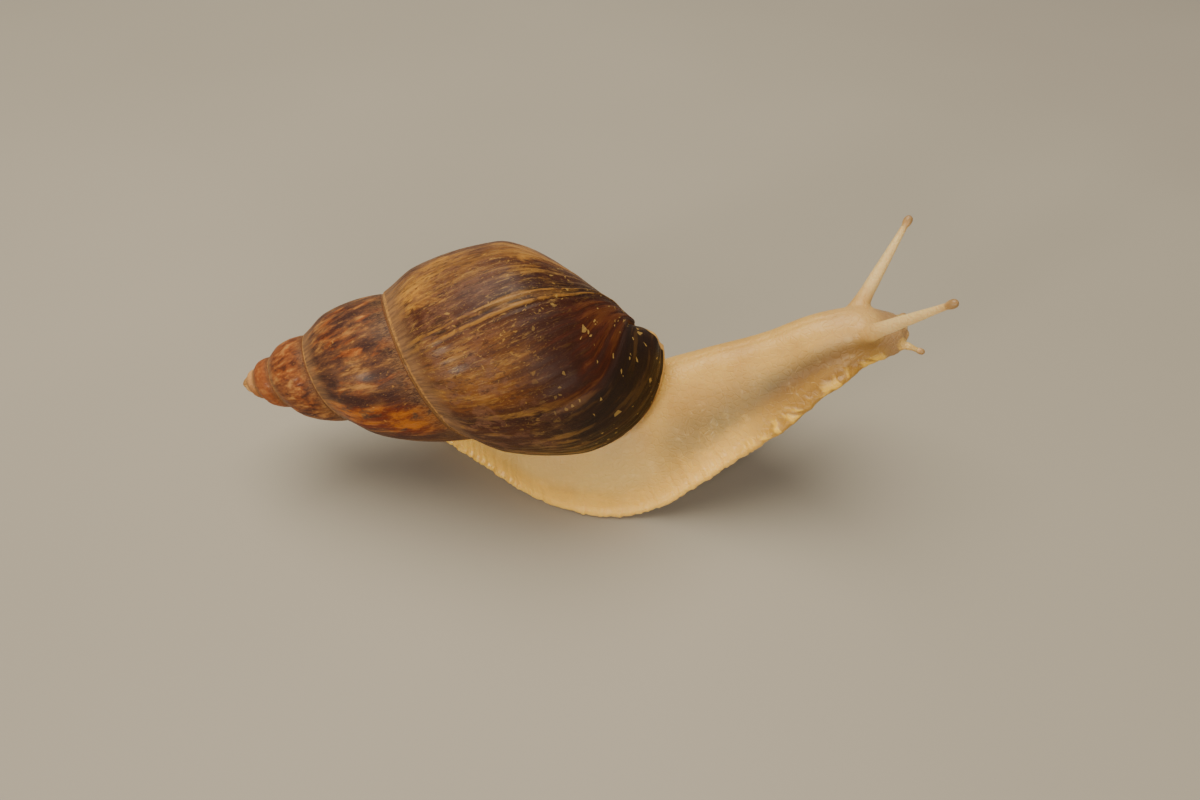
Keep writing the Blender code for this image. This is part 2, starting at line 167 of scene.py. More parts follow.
# ---------------------------------------------------------------- small tools
def smoothstep(x):
    x = np.clip(x, 0.0, 1.0)
    return x * x * (3 - 2 * x)


def ease(x, start, end):
    """0 up to the start, 1 from the end on and smooth between; the end may lie before it."""
    return smoothstep((x - start) / (end - start))


def bump(x, centre, width):
    """A smooth rise to 1 at the centre, about the width wide."""
    return np.exp(-(((x - centre) / width) ** 2))


def eased(keys, s):
    """Values at s of a list of (place, value) pairs, easing from each to the next."""
    s = np.asarray(s, float)
    value = np.full(s.shape, float(keys[0][1]))
    for (start, low), (end, high) in zip(keys, keys[1:]):
        value = value + (high - low) * ease(s, start, end)
    return value


def wander(x, wavelength, seed):
    """Smooth noise of one variable, from -1 to 1."""
    table = np.random.default_rng(seed).uniform(-1, 1, NOISE_TABLE)
    at = np.asarray(x, float) / wavelength
    whole = np.floor(at)
    share = smoothstep(at - whole)
    index = whole.astype(int)
    near, far = table[index % NOISE_TABLE], table[(index + 1) % NOISE_TABLE]
    return near * (1 - share) + far * share


def size_of(v):
    return np.linalg.norm(v, axis=-1)


def unit(v):
    return v / size_of(v)[..., None]


def columns(*values):
    return np.stack(values, axis=-1)


def placed(name, data):
    """A new object in the scene."""
    made = bpy.data.objects.new(name, data)
    bpy.context.scene.collection.objects.link(made)
    return made


def mesh_object(name, points, faces):
    """A mesh object from points in mm and a list of faces."""
    mesh = bpy.data.meshes.new(name)
    mesh.from_pydata([tuple(p) for p in np.asarray(points) * MM], [], faces)
    return placed(name, mesh)


def with_data(piece, data):
    """A smooth-shaded piece that keeps numbers at its vertices for the material to read."""
    for name, values in data.items():
        attribute = piece.data.attributes.new(name, "FLOAT", "POINT")
        attribute.data.foreach_set("value", np.asarray(values, np.float32).ravel())
    piece.data.polygons.foreach_set("use_smooth", [True] * len(piece.data.polygons))
    piece.data.update()
    return piece


def numbers(items, name, width=3, kind=float):
    """One row of numbers for each of a mesh's vertices, edges or normals."""
    flat = np.empty(len(items) * width, kind)
    items.foreach_get(name, flat)
    return flat.reshape(-1, width)


# ---------------------------------------------------------------- shell laws
SUTURE_EASE = (0.30, 0.3)  # added to the arc's power at the suture, and how far it reaches
BASE_TURN_POWER = 0.9
BASE_SETTLES = 0.45  # turns back from the lip at which the base has its older form
FLARE_POWER = 8
LEVEL = math.cos(DROOP)
AXIS = np.array([LEVEL * math.cos(SWING), LEVEL * math.sin(SWING), math.sin(DROOP)])
SIDE = np.array([math.sin(SWING), -math.cos(SWING), 0.0])
RISE = np.cross(SIDE, AXIS)


def law(pair, turns):
    """A size that is pair[0] at the lip and pair[1] one whole turn before it."""
    return pair[0] * (pair[1] / pair[0]) ** turns


def suture(turns):
    along = SUTURE_END * SUTURE_GROWTH ** (-turns)
    return along, SUTURE_RADIUS * (along / SUTURE_END) ** SUTURE_POWER


def upper_arc(share):
    share = np.clip(share, 0, 1)
    added, reach = SUTURE_EASE
    power = UPPER_POWER + added * (1 - ease(share, 0, reach))
    return np.sin(0.5 * math.pi * share) ** power


def profile(turns, rows):
    """Distance from the apex and radius; rows 0 to ROWS lie between two sutures."""
    turns, rows = np.broadcast_arrays(np.asarray(turns, float), np.asarray(rows, float))
    start, radius = suture(turns)
    end, end_radius = suture(turns - 1)
    share = np.minimum(rows / ROWS, 1)
    rise = upper_arc(ROW_END * share) / upper_arc(ROW_END)
    swell = BULGE * radius * np.sin(math.pi * share)
    covered_along = start + (end - start) * share
    covered_radius = radius + (end_radius - radius) * rise + swell

    widest_at = law(WIDEST_AT, turns)
    base_at = law(BASE_AT, turns)
    widest = law(WIDEST, turns) + LIP_FLARE * np.clip(1 - turns, 0, 1) ** FLARE_POWER
    shoulder = start + (widest_at - start) * ROW_END
    turning = np.sin(0.5 * math.pi * np.clip((rows - ROWS) / BASE_ROWS, 0, 1))
    past_shoulder = shoulder + (base_at - shoulder) * turning**BASE_TURN_POWER
    open_along = np.where(rows <= ROWS, start + (shoulder - start) * share, past_shoulder)
    arc = np.clip((open_along - start) / (widest_at - start), 0, 1)
    swell = BULGE * np.minimum(1, turns) * radius * np.sin(math.pi * arc)
    upper = radius + (widest - radius) * upper_arc(arc) + swell
    fall = np.clip((open_along - widest_at) / (base_at - widest_at), 0, 1)
    slender = ease(turns, 0, BASE_SETTLES)
    curve = BASE_CURVE[0] + (BASE_CURVE[1] - BASE_CURVE[0]) * slender
    power = BASE_POWER[0] + (BASE_POWER[1] - BASE_POWER[0]) * slender
    base_radius = law(BASE_RADIUS, turns)
    lower = base_radius + (widest - base_radius) * np.maximum(0, 1 - fall**curve) ** power
    open_radius = np.where(open_along <= widest_at, upper, lower)
    covered = (turns >= 1) & (rows <= ROWS)
    along = np.where(covered, covered_along, open_along)
    return along, np.where(covered, covered_radius, open_radius)


def place(along, radius, turns):
    """Points at distances along the shell's axis and radii from it."""
    angle = (LIP_ANGLE + TAU * np.asarray(turns, float))[..., None]
    out = SIDE * np.cos(angle) + RISE * np.sin(angle)
    return APEX + AXIS * np.asarray(along)[..., None] + out * np.asarray(radius)[..., None]


def surface(turns, rows):
    return place(*profile(turns, rows), turns)


SLANT, BASE_SLANT = 0.0085, 0.012  # turns that a growth line slants in a row
BASE_SLANT_ROW = 8
MOST_SLANT = 0.15
UNSLANTED = 0.28  # turns behind the lip over which the slant grows


def growth_line(turns, rows):
    """How many turns back the growth line through a point leaves the suture."""
    slant = SLANT * rows + BASE_SLANT * np.maximum(0, rows - BASE_SLANT_ROW)
    return turns - ease(turns, 0, UNSLANTED) * np.minimum(MOST_SLANT, slant)


def growth_length(turns):
    """Millimetres of growth round the whorl, from the lip back to here."""
    rate = math.log(WIDEST[0] / WIDEST[1])
    return TAU * WIDEST[0] * (1 - np.exp(-rate * turns)) / rate


# Ridges and rest lines across the whorls: turns back, width in turns, height in mm
RIDGES = (
    (0.236, 0.0035, 0.42),
    (0.249, 0.0028, 0.26),
    (0.226, 0.0022, 0.14),
    (0.112, 0.0045, -0.42),
    (0.098, 0.010, 0.20),
    (0.160, 0.0025, -0.12),
    (0.345, 0.0025, -0.10),
    (0.405, 0.0022, 0.12),
    (0.428, 0.0030, -0.16),
    (0.440, 0.0024, 0.14),
    (0.610, 0.0030, 0.16),
    (0.770, 0.0030, -0.16),
    (0.880, 0.0025, 0.14),
    (1.210, 0.0040, -0.10),
)
STEP_AT_SUTURE = 0.14  # mm, by which a whorl's upper edge stands on the one before
STEP_FADE = 2.6  # mm
STEP_WRINKLES = ((1.0, 0.85, 9), (0.6, 0.41, 10))  # share, wavelength in mm, seed
STEP_WRINKLE = 0.085  # mm
SMALLEST_RELIEF = 0.12  # of the relief on the last whorl, at the apex
# Growth lines: height in mm, wavelength in mm, sway in mm and its wavelength in rows, seed
GROWTH_WAVES = ((0.075, 1.5, 0.25, 0.9, 3), (0.070, 4.6, 0.5, 1.7, 5))
FINEST_WAVE = (0.048, 0.62)  # mm
SPIRAL_WAVE = 0.050  # mm
LIP_RISE = 0.95  # mm, by which the lip's front end bulges
NOTCH = 1.0  # mm, depth of the dip behind it
LIP_RISE_AT, NOTCH_AT = (0.115, 0.060), (0.108, 0.020)  # turns back, and width


def shell_relief(turns, rows, from_suture):
    """Height of the growth lines, ridges and sutures over the smooth shell, mm."""
    line = growth_line(turns, rows)
    length = growth_length(line)
    size = np.clip(law(WIDEST, turns) / WIDEST[0], SMALLEST_RELIEF, 1)
    ragged = 0.6 + 0.4 * wander(rows * 3.1 + 40 * np.floor(length / 3), 1.0, SEED + 1)
    relief = FINEST_WAVE[0] * wander(length, FINEST_WAVE[1], SEED + 2) * ragged
    for height, wavelength, sway, sway_rows, seed in GROWTH_WAVES:
        swayed = length + sway * wander(rows, sway_rows, SEED + seed)
        relief += height * wander(swayed, wavelength, SEED + seed + 1)
    spiral = wander(rows * 2.0 + 0.05 * length, 1.0, SEED + 7)
    relief += SPIRAL_WAVE * spiral * wander(length, 7, SEED)
    for back, width, height in RIDGES:
        strength = 0.75 + 0.25 * wander(rows + 7 * back, 1.3, SEED + 8)
        relief += height * strength * bump(line, back, width)
    near = np.exp(-from_suture / (STEP_FADE * size))
    wrinkle = sum(share * wander(length, wave, SEED + seed) for share, wave, seed in STEP_WRINKLES)
    return relief * size + near * size * (STEP_AT_SUTURE + STEP_WRINKLE * wrinkle)


def lip_front(turns, rows):
    """Height of the bulge at the front end of the lip and of the dip behind it, mm."""
    bulge = LIP_RISE * bump(turns, *LIP_RISE_AT)
    dip = NOTCH * bump(growth_line(turns, rows), *NOTCH_AT)
    return (bulge - dip) * ease(rows, 10, 13) * ease(turns, 0.4, 0.3)


ROW_CROWDING = 0.35  # how much closer together the rows lie at the suture


def shell_rows():
    """Row numbers of the mesh's rows, closer together at the suture."""
    share = np.linspace(0, 1, ARC_FINENESS + 1)
    arc = ROWS * (ROW_CROWDING * share**2 + (1 - ROW_CROWDING) * share)
    base = ROWS + BASE_ROWS * np.linspace(0, 1, BASE_FINENESS + 1)[1:]
    return arc, base


def shell_points(turns, rows):
    """The smooth outer surface and the directions out of it."""
    smooth = surface(turns, rows)
    dt, dr = 1e-4, 1e-3
    along_growth = surface(turns + dt, rows) - surface(np.maximum(turns - dt, 0), rows)
    low, high = np.maximum(rows - dr, 0), np.minimum(rows + dr, END_ROW)
    high = np.where((turns >= 1) & (rows <= ROWS), np.minimum(high, ROWS), high)
    across = surface(turns, high) - surface(turns, low)
    normal = np.cross(along_growth, across)
    normal /= np.maximum(size_of(normal), 1e-12)[..., None]
    outward = smooth - (APEX + AXIS * ((smooth - APEX) @ AXIS)[..., None])
    flip = np.sign(np.sum(normal * outward, axis=-1, keepdims=True))
    normal *= np.where(flip == 0, 1, flip)
    return smooth, normal


class Sheets:
    """Points, what the material reads at each, and faces of a mesh made of grids."""

    def __init__(self):
        self.points = []
        self.data = []
        self.faces = []
        self.count = 0

    def add(self, points, data):
        """Keeps a grid of points and returns the grid of their numbers."""
        shape = points.shape[:-1]
        self.points.append(points.reshape(-1, 3))
        self.data.append(data.reshape(-1, data.shape[-1]))
        first = self.count
        self.count += len(self.points[-1])
        return (first + np.arange(self.count - first)).reshape(shape)

    def quads(self, grid):
        """Faces between neighbours in a grid of point numbers, triangles where two agree."""
        corners = (grid[:-1, :-1], grid[1:, :-1], grid[1:, 1:], grid[:-1, 1:])
        for ring in zip(*(corner.ravel().tolist() for corner in corners)):
            ring = tuple(dict.fromkeys(ring))
            if len(ring) > 2:
                self.faces.append(ring)

    def close(self, ring, inner):
        """Faces from a closed ring in to a smaller one, or to a single point."""
        inner = np.broadcast_to(inner, ring.shape)
        self.quads(np.stack([np.append(loop, loop[0]) for loop in (inner, ring)]))


RELIEF_ENDS = 0.94  # share of a lapped whorl's width from which its relief dies away


def displaced(turns, rows, before=None):
    """A grid of the finished outer surface, its data, and where each column ends.

    The data are turns back, the growth line's turns back, its length in mm, the row and
    the distance from the suture; before is that distance where the grid starts.
    """
    turns, rows = np.meshgrid(turns, rows, indexing="ij")
    smooth, normal = shell_points(turns, rows)
    steps = size_of(np.diff(smooth, axis=1))
    start = np.zeros(len(turns)) if before is None else before
    from_suture = start[:, None] + np.pad(np.cumsum(steps, axis=1), ((0, 0), (1, 0)))
    relief = shell_relief(turns, rows, from_suture)
    relief = np.where(rows <= 0, 0, relief)
    lapped = (turns >= 1) & (rows <= ROWS)
    relief *= np.where(lapped, 1 - ease(rows / ROWS, RELIEF_ENDS, 1), 1)
    relief *= ease(rows, END_ROW, END_ROW - 0.5)
    relief += lip_front(turns, rows)
    line = growth_line(turns, rows)
    data = columns(turns, line, growth_length(line), rows, from_suture)
    return smooth + normal * relief[..., None], data, from_suture[:, -1]


SHELL_DATA = ("turn", "line", "growth", "row", "from_suture")


def shell():
    """The whole shell as one closed surface, with an open mouth inside its lip."""
    arc_rows, base_rows = shell_rows()
    turns = np.arange(COLUMNS + 1) / STEPS
    sheets = Sheets()
    upper_points, data, reach = displaced(turns, arc_rows)
    upper = sheets.add(upper_points, data)
    open_columns = STEPS + APERTURE_COLUMNS + 1
    lower_points, data, _ = displaced(
        turns[:open_columns], base_rows, before=reach[:open_columns]
    )
    lower = sheets.add(lower_points, data)
    # Where the next turn laps over a whorl, both use the suture's own points.
    upper[STEPS:, -1] = upper[: len(upper) - STEPS, 0]

    # The lip's inside lies between the outer wall and the turn before it.
    depth, rows = np.meshgrid(
        turns[: APERTURE_COLUMNS + 1], np.concatenate((arc_rows, base_rows)), indexing="ij"
    )
    outer = np.concatenate((upper_points[: len(depth)], lower_points[: len(depth)]), axis=1)
    parietal = surface(depth + 1, ROWS + BASE_ROWS * rows / END_ROW)
    room = size_of(parietal - outer)
    wall = LIP_EDGE + (LIP_WALL - LIP_EDGE) * ease(depth, 0, LIP_TAPER)
    share = np.minimum(WALL_SHARE, wall / np.maximum(room, 1e-6))
    inner = outer + (parietal - outer) * share[..., None]
    far_off = np.full_like(rows, IN_MOUTH)
    data = columns(depth, depth, growth_length(depth), rows, far_off)
    inside = sheets.add(inner, data)
    inside[0, 0] = upper[0, 0]
    inside[:, -1] = lower[: len(depth), -1]
    # Past one turn the base is the wall between the mouth and the turn before it.
    parted = np.concatenate((inside[:, :1], lower[STEPS:]), axis=1)

    sheets.quads(upper)
    sheets.quads(np.concatenate((upper[: STEPS + 1, -1:], lower[: STEPS + 1]), axis=1))
    sheets.quads(parted)
    sheets.quads(inside)
    sheets.quads(np.stack((inside[0], np.concatenate((upper[0], lower[0])))))

    # The closed back of the mouth, hidden by the mantle.
    far, near = inside[-1], parted[-1]
    partner = np.round(np.linspace(0, len(near) - 1, len(far))).astype(int)
    sheets.quads(np.stack((near[partner], far)))

    # The base, drawn in to the end of the column.
    middle = APEX + AXIS * COLUMELLA_AT
    column_data = np.array([[1.0, 1.0, growth_length(1.0), END_ROW, AT_COLUMN]])
    sheets.close(lower[APERTURE_COLUMNS:, -1], sheets.add(middle[None], column_data))

    # The nucleus: a low dome over the first turn of the suture.
    first_turn = upper[len(upper) - 1 - STEPS : len(upper) - 1, 0]
    dome(sheets, np.concatenate((upper[-1, :-1], first_turn)))

    data = zip(SHELL_DATA, np.concatenate(sheets.data).T)
    made = mesh_object("snail_shell", np.concatenate(sheets.points), sheets.faces)
    return with_data(made, dict(data))


def dome(sheets, rim):
    """Closes a rim over the apex with rings that shrink towards it."""
    edge = np.concatenate(sheets.points)[rim]
    data = np.concatenate(sheets.data)[rim]
    along = (edge - APEX) @ AXIS
    out = edge - APEX - along[:, None] * AXIS
    previous = rim
    for k in range(1, DOME_RINGS):
        share = 1 - k / DOME_RINGS
        ring = APEX + AXIS * (along * share**DOME_POWER)[:, None] + out * share
        current = sheets.add(ring, data)
        sheets.close(previous, current)
        previous = current
    sheets.close(previous, sheets.add(APEX[None], data[:1]))


# ---------------------------------------------------------------- body laws
MIDLINE = np.arange(-72.0, 96.0, WALK_STEP)  # distances s along the sole


def direction(s, slopes=SLOPE):
    slope, heading = np.radians(eased(slopes, s)), np.radians(eased(HEADING, s))
    level = np.cos(slope)
    return columns(level * np.cos(heading), level * np.sin(heading), np.sin(slope))


def midline_points():
    steps = direction(MIDLINE[:-1] + WALK_STEP / 2) * WALK_STEP
    line = np.concatenate((np.zeros((1, 3)), np.cumsum(steps, axis=0)))
    return line + RISE_START - line[np.argmin(np.abs(MIDLINE))]


MID_POINTS = midline_points()


def section(s):
    """Places on the sole's mid-line and the sections' directions forward, right and up."""
    s = np.asarray(s, float)
    point = columns(*(np.interp(s, MIDLINE, MID_POINTS[:, k]) for k in range(3)))
    square_to = direction(s, LEAN)
    right = unit(np.cross(square_to, (0.0, 0.0, 1.0)))
    return point, square_to, right, np.cross(right, square_to)


def on_body(s, lateral, up):
    """World points at distances along the sole, to the right of its mid-line and above it."""
    point, _, right, upward = section(s)
    return point + right * np.asarray(lateral)[..., None] + upward * np.asarray(up)[..., None]


def station(s):
    """Foot, flank and back half-widths, bottom and height at s, on smooth curves."""
    s = np.asarray(s, float)
    last = len(BODY) - 2
    i = np.clip(np.searchsorted(BODY[:, 0], s, side="right") - 1, 0, last)
    p1, p2 = BODY[i], BODY[i + 1]
    p0 = BODY[np.maximum(i - 1, 0)]
    p3 = BODY[np.minimum(i + 2, last + 1)]
    t = np.clip((s - p1[..., 0]) / (p2[..., 0] - p1[..., 0]), 0, 1)[..., None]
    bend = (2 * p0 - 5 * p1 + 4 * p2 - p3) * t**2 + (3 * p1 - p0 - 3 * p2 + p3) * t**3
    values = p1 + 0.5 * ((p2 - p0) * t + bend)
    return [values[..., k] for k in range(1, 6)]


# ---------------------------------------------------------------- skin
def loft(parts, rings):
    """Adds a closed tube through rings of equally many points to the parts."""
    points, faces = parts
    rings = np.asarray(rings)
    first, count = len(points), rings.shape[1]
    last = first + (len(rings) - 1) * count
    points.extend(rings.reshape(-1, 3))
    for near in range(first, last, count):
        for j in range(count):
            n = (j + 1) % count
            faces.append((near + j, near + n, near + count + n, near + count + j))
    faces.append(tuple(range(first + count - 1, first - 1, -1)))
    faces.append(tuple(range(last, last + count)))


# The margin's waves: height in mm, wavelength in mm, seed
KNOB_WAVES = ((0.50, 2.1, 30), (0.16, 0.9, 33))
RIPPLE_WAVES = ((0.16, 3.4, 36), (0.07, 1.1, 39))


def margin(s, side):
    """How far the foot's edge stands out here, mm: knobs in front, ripples behind."""
    knobs, ripples = (
        sum(height * wander(s, wave, SEED + seed + side) for height, wave, seed in waves)
        for waves in (KNOB_WAVES, RIPPLE_WAVES)
    )
    return (ripples + (knobs - ripples) * ease(s, 36, 50)) * ease(s, SOLE_END, SOLE_END - 8)


FLAT_POINTS, EDGE_POINTS = 8, 9  # across the sole, and round its edge
EDGE_OF_HEIGHT, EDGE_OF_WIDTH = 0.45, 0.4  # the most that the round edge takes of either
ARCH = 64  # steps over the back
SUNK = 0.45  # of the foot's height, from which the flanks rise
SUNK_WIDTH = 0.98  # of the flanks' half-width there


def foot_rings():
    """The sole with its thin rippled margin."""
    rings = []
    turn = np.linspace(-0.5 * math.pi, 0.5 * math.pi, EDGE_POINTS)
    flat = np.linspace(0, 1, FLAT_POINTS)
    for s in np.arange(TAIL_END, SOLE_END + RING_STEP / 2, RING_STEP / 2):
        foot, _, _, bottom, _ = station(s)
        edge = min(EDGE_OF_HEIGHT * bottom, EDGE_OF_WIDTH * foot)
        inner = foot - edge
        across = (flat[:-1] * inner, inner + edge * np.cos(turn), flat[-2::-1] * inner)
        up = (0 * flat[:-1], 0.5 * bottom * (1 + np.sin(turn)), 0 * flat[1:] + bottom)
        half = columns(np.concatenate(across), np.concatenate(up))
        share = np.clip(half[:, 0] / foot, 0, 1) ** 6
        right, left = (
            half + columns(share * margin(s, side), np.zeros(len(half)))
            for _, side in SIDES
        )
        ring = np.concatenate((right, (left * (-1, 1))[-2:0:-1]))
        rings.append(on_body(np.full(len(ring), s), ring[:, 0], ring[:, 1]))
    return rings


def back_rings():
    """Flanks, back, neck and head."""
    rings = []
    turn = math.pi * np.arange(ARCH + 1) / ARCH
    rise = np.sin(turn)
    for s in np.arange(TAIL_END, MUZZLE_END + RING_STEP / 2, RING_STEP):
        _, flank, back, bottom, height = station(s)
        width = back * (1 - rise**BACK_ROUNDNESS) ** (1 / BACK_ROUNDNESS)
        width = width + (flank - back) * (1 - rise) ** FLANK_FLARE
        lateral = np.copysign(width, np.cos(turn))
        lateral = np.concatenate((lateral, np.array((-1, 0, 1)) * flank * SUNK_WIDTH))
        up = np.concatenate((bottom + (height - bottom) * rise, np.full(3, SUNK * bottom)))
        rings.append(on_body(np.full(len(up), s), lateral, up))
    return rings


def circle(across, upright, sides):
    turn = TAU * np.arange(sides)[:, None] / sides
    return np.cos(turn) * across + np.sin(turn) * upright


def tube_rings(points, radii, sides=26):
    rings = []
    for k, (point, radius) in enumerate(zip(points, radii)):
        ahead = unit(points[min(k + 1, len(points) - 1)] - points[max(k - 1, 0)])
        across = unit(np.cross(ahead, (0.0, 1.0, 0.0)))
        rings.append(point + circle(across, np.cross(ahead, across), sides) * radius)
    return rings


def feeler_line(feeler, side):
    """Root and direction of a tentacle."""
    forward = direction(feeler.s)
    _, _, right, upward = section(feeler.s)
    aim = forward * feeler.aim[0] + right * side * feeler.aim[1] + upward * feeler.aim[2]
    return on_body(feeler.s, feeler.lateral * side, feeler.up), unit(aim)


def feeler_radius(feeler, share):
    """Radius of a tentacle at a share of its length, widening into the head."""
    in_list = np.clip(share, 0, 1) * (len(feeler.radii) - 1)
    radius = np.interp(in_list, range(len(feeler.radii)), feeler.radii)
    return radius * (1 + ROOT_WIDENING * np.clip(-share, 0, 1) / ROOT_DEPTH)


def ellipsoid_rings(centre, axes, half_sizes, rings=14, sides=24):
    ahead, across, upright = (axis * size for axis, size in zip(axes, half_sizes))
    return [
        centre - ahead * math.cos(turn) + circle(across, upright, sides) * math.sin(turn)
        for turn in np.linspace(0.04, math.pi - 0.04, rings)
    ]


COLLAR_RINGS = (
    *((0.02 * k, 0.0) for k in range(16, -1, -1)),
    (-0.006, 0.02),
    (-0.011, 0.09),
    (-0.014, 0.22),
)  # turns back from the lip, and how far each ring shrinks
COLLAR_INSET = 0.85  # mm, from the outside of the lip to the mantle inside it
COLLAR_GAP = 0.05  # mm, from the turn before to the mantle on it
COLLAR_POINTS = 60
COLLAR_ROWS = (0.5, END_ROW - 0.1)  # first and last row of the lip that it lines
PLUG_INSET = 0.35  # mm
PLUG_SAG = 1.3  # mm
PLUG_TURNS = 0.78  # how far back from the lip the plug follows the base
PLUG_RIM, PLUG_CHORD = 40, 16  # points along the base and straight across
PLUG_FRONT = 26  # of those along the base, whose middle the plug closes on
PLUG_DEEP = (0.02, 0.5, 0.9, 1.0)  # sizes of its rings from the column out to the base
PLUG_CLOSING = (0.8, 0.5, 0.2, 0.02)  # and from there in to its middle
NECK_ROOT = (9.0, -3.5, 26.0)  # mm, middle of the flesh that joins the back to the mantle
NECK_ROOT_SIZE = (9.0, 6.5, 4.0)  # mm, half its length, width and height
NECK_ROOT_TILT = math.radians(22)


def collar_rings():
    """The mantle's edge, which fills the shell's mouth and swells a little out of it."""
    rings = []
    share = np.linspace(0, 1, COLLAR_POINTS)
    rows = COLLAR_ROWS[0] + (COLLAR_ROWS[1] - COLLAR_ROWS[0]) * share
    for turns, shrink in COLLAR_RINGS:
        at = np.full(len(rows), max(0, turns))
        along, radius = profile(at, rows)
        _, normal = shell_points(at, rows)
        forward = normal @ AXIS
        outward = np.sqrt(np.maximum(0, 1 - forward**2))
        depth = lip_front(at, rows) - np.minimum(COLLAR_INSET, 0.3 * radius)
        far = columns(along + forward * depth, radius + outward * depth)
        along, radius = profile(1 + turns, ROWS + 0.3 + (BASE_ROWS - 0.5) * share)
        near = columns(along, radius + COLLAR_GAP)
        outside = far + (near - far) * shrink
        inside = near + (far - near) * shrink
        ring = np.concatenate((outside, inside[::-1]))
        rings.append(place(ring[:, 0], ring[:, 1], np.full(len(ring), turns)))
    return rings


def plug_rings():
    """Flesh that closes the mouth between the front of the lip and the column."""
    turns = np.linspace(0, PLUG_TURNS, PLUG_RIM)
    rows = np.full(len(turns), float(END_ROW))
    smooth, normal = shell_points(turns, rows)
    rim = smooth + normal * (lip_front(turns, rows) - PLUG_INSET)[:, None]
    share = np.linspace(0, 1, PLUG_CHORD)[1:-1, None]
    sunk = PLUG_SAG * np.sin(math.pi * share) * np.array([0.0, 0.0, 1.0])
    chord = rim[-1] + (rim[0] - rim[-1]) * share - sunk
    loop = np.concatenate((rim, chord))
    deep = APEX + AXIS * COLUMELLA_AT
    middle = rim[:PLUG_FRONT].mean(axis=0)
    rings = [deep + (loop - deep) * share for share in PLUG_DEEP]
    return rings + [middle + (loop - middle) * share for share in PLUG_CLOSING]


def joined_flesh():
    """All forms of the flesh as one object of overlapping closed meshes."""
    parts = ([], [])
    for rings in (foot_rings(), back_rings(), collar_rings(), plug_rings()):
        loft(parts, rings)
    ahead, upright = math.cos(NECK_ROOT_TILT), math.sin(NECK_ROOT_TILT)
    axes = np.array([[ahead, 0, upright], [0, -1, 0], [-upright, 0, ahead]])
    loft(parts, ellipsoid_rings(np.array(NECK_ROOT), axes, NECK_ROOT_SIZE))
    for _, side in SIDES:
        for feeler in FEELERS:
            root, aim = feeler_line(feeler, side)
            share = np.linspace(-ROOT_DEPTH, 1, STALK_POINTS)
            points = root + aim * feeler.length * share[:, None]
            loft(parts, tube_rings(points, feeler_radius(feeler, share)))
        (s, lateral, up), half_sizes = LIP_LOBE
        _, _, right, upward = section(s)
        axes = (direction(s), right, upward)
        loft(parts, ellipsoid_rings(on_body(s, lateral * side, up), axes, half_sizes))
    return mesh_object("snail_skin", *parts)


def without_bubbles(mesh):
    """Keeps a mesh's largest connected part, because voxels can close off a tiny bubble."""
    form = bmesh.new()
    form.from_mesh(mesh)
    left, parts = set(form.verts), []
    while left:
        part, front = set(), {next(iter(left))}
        while front:
            part |= front
            front = {edge.other_vert(v) for v in front for edge in v.link_edges} - part
        left -= part
        parts.append(part)
    parts.sort(key=len)
    for part in parts[:-1]:
        bmesh.ops.delete(form, geom=list(part), context="VERTS")
    form.to_mesh(mesh)
    form.free()


def remeshed(piece):
    """The outer surface of a piece's overlapping forms, as even quads."""
    modifier = piece.modifiers.new("skin", "REMESH")
    modifier.mode = "VOXEL"
    modifier.voxel_size = VOXEL * MM
    depsgraph = bpy.context.evaluated_depsgraph_get()
    fused = bpy.data.meshes.new_from_object(piece.evaluated_get(depsgraph))
    piece.modifiers.clear()
    without_bubbles(fused)
    piece.data = fused
    return piece


def normals(mesh, points):
    """Moves a mesh's vertices to the points, in mm, and gives the directions out of it."""
    mesh.vertices.foreach_set("co", (points * MM).ravel())
    mesh.update()
    return numbers(mesh.vertex_normals, "vector")


def relaxed(points, edges, passes, weight):
    """Points drawn towards the mean of their neighbours, each by its weight."""
    count = len(points)
    a, b = edges[:, 0], edges[:, 1]
    degree = np.bincount(a, minlength=count) + np.bincount(b, minlength=count)
    for _ in range(passes):
        mean = columns(
            *(
                np.bincount(a, points[b, k], count) + np.bincount(b, points[a, k], count)
                for k in range(3)
            )
        )
        points = points + (mean / degree[:, None] - points) * weight[:, None]
    return points


BLOCK = 20000  # points that are placed at a time


def body_places(points):
    """Each point's s, lateral and up, from the section that it lies in."""
    coarse = np.arange(TAIL_END - 2, MUZZLE_END + 6, 1.0)
    place_on, square_to, _, _ = section(coarse)
    s = np.empty(len(points))
    for first in range(0, len(points), BLOCK):
        block = points[first : first + BLOCK]
        ahead = block @ square_to.T - np.sum(place_on * square_to, axis=1)
        # a section that the point lies ahead of, such that it lies behind the next
        k = np.clip((ahead > 0).sum(axis=1) - 1, 0, len(coarse) - 2)
        rows = np.arange(len(block))
        d0, d1 = ahead[rows, k], ahead[rows, k + 1]
        s[first : first + BLOCK] = coarse[k] + np.clip(d0 / np.maximum(d0 - d1, 1e-6), 0, 1)
    point, _, right, upward = section(s)
    offset = points - point
    return s, np.sum(offset * right, axis=1), np.sum(offset * upward, axis=1)


def feeler_share(points, feeler):
    """Share of a tentacle's length reached at each point near it, else 0."""
    share = np.zeros(len(points))
    for _, side in SIDES:
        root, aim = feeler_line(feeler, side)
        along = (points - root) @ aim
        away = size_of(points - root - along[:, None] * aim)
        here = (along > 0) & (away < feeler.skin_reach)
        share = np.where(here, np.maximum(share, along / feeler.length), share)
    return share


# Where the skin is smoothed at the mantle: before the base's end, from the axis, and reach
MANTLE_BLEND = (3.0, 2.0, 6.0)
MANTLE_BLEND_SHARE = 0.7


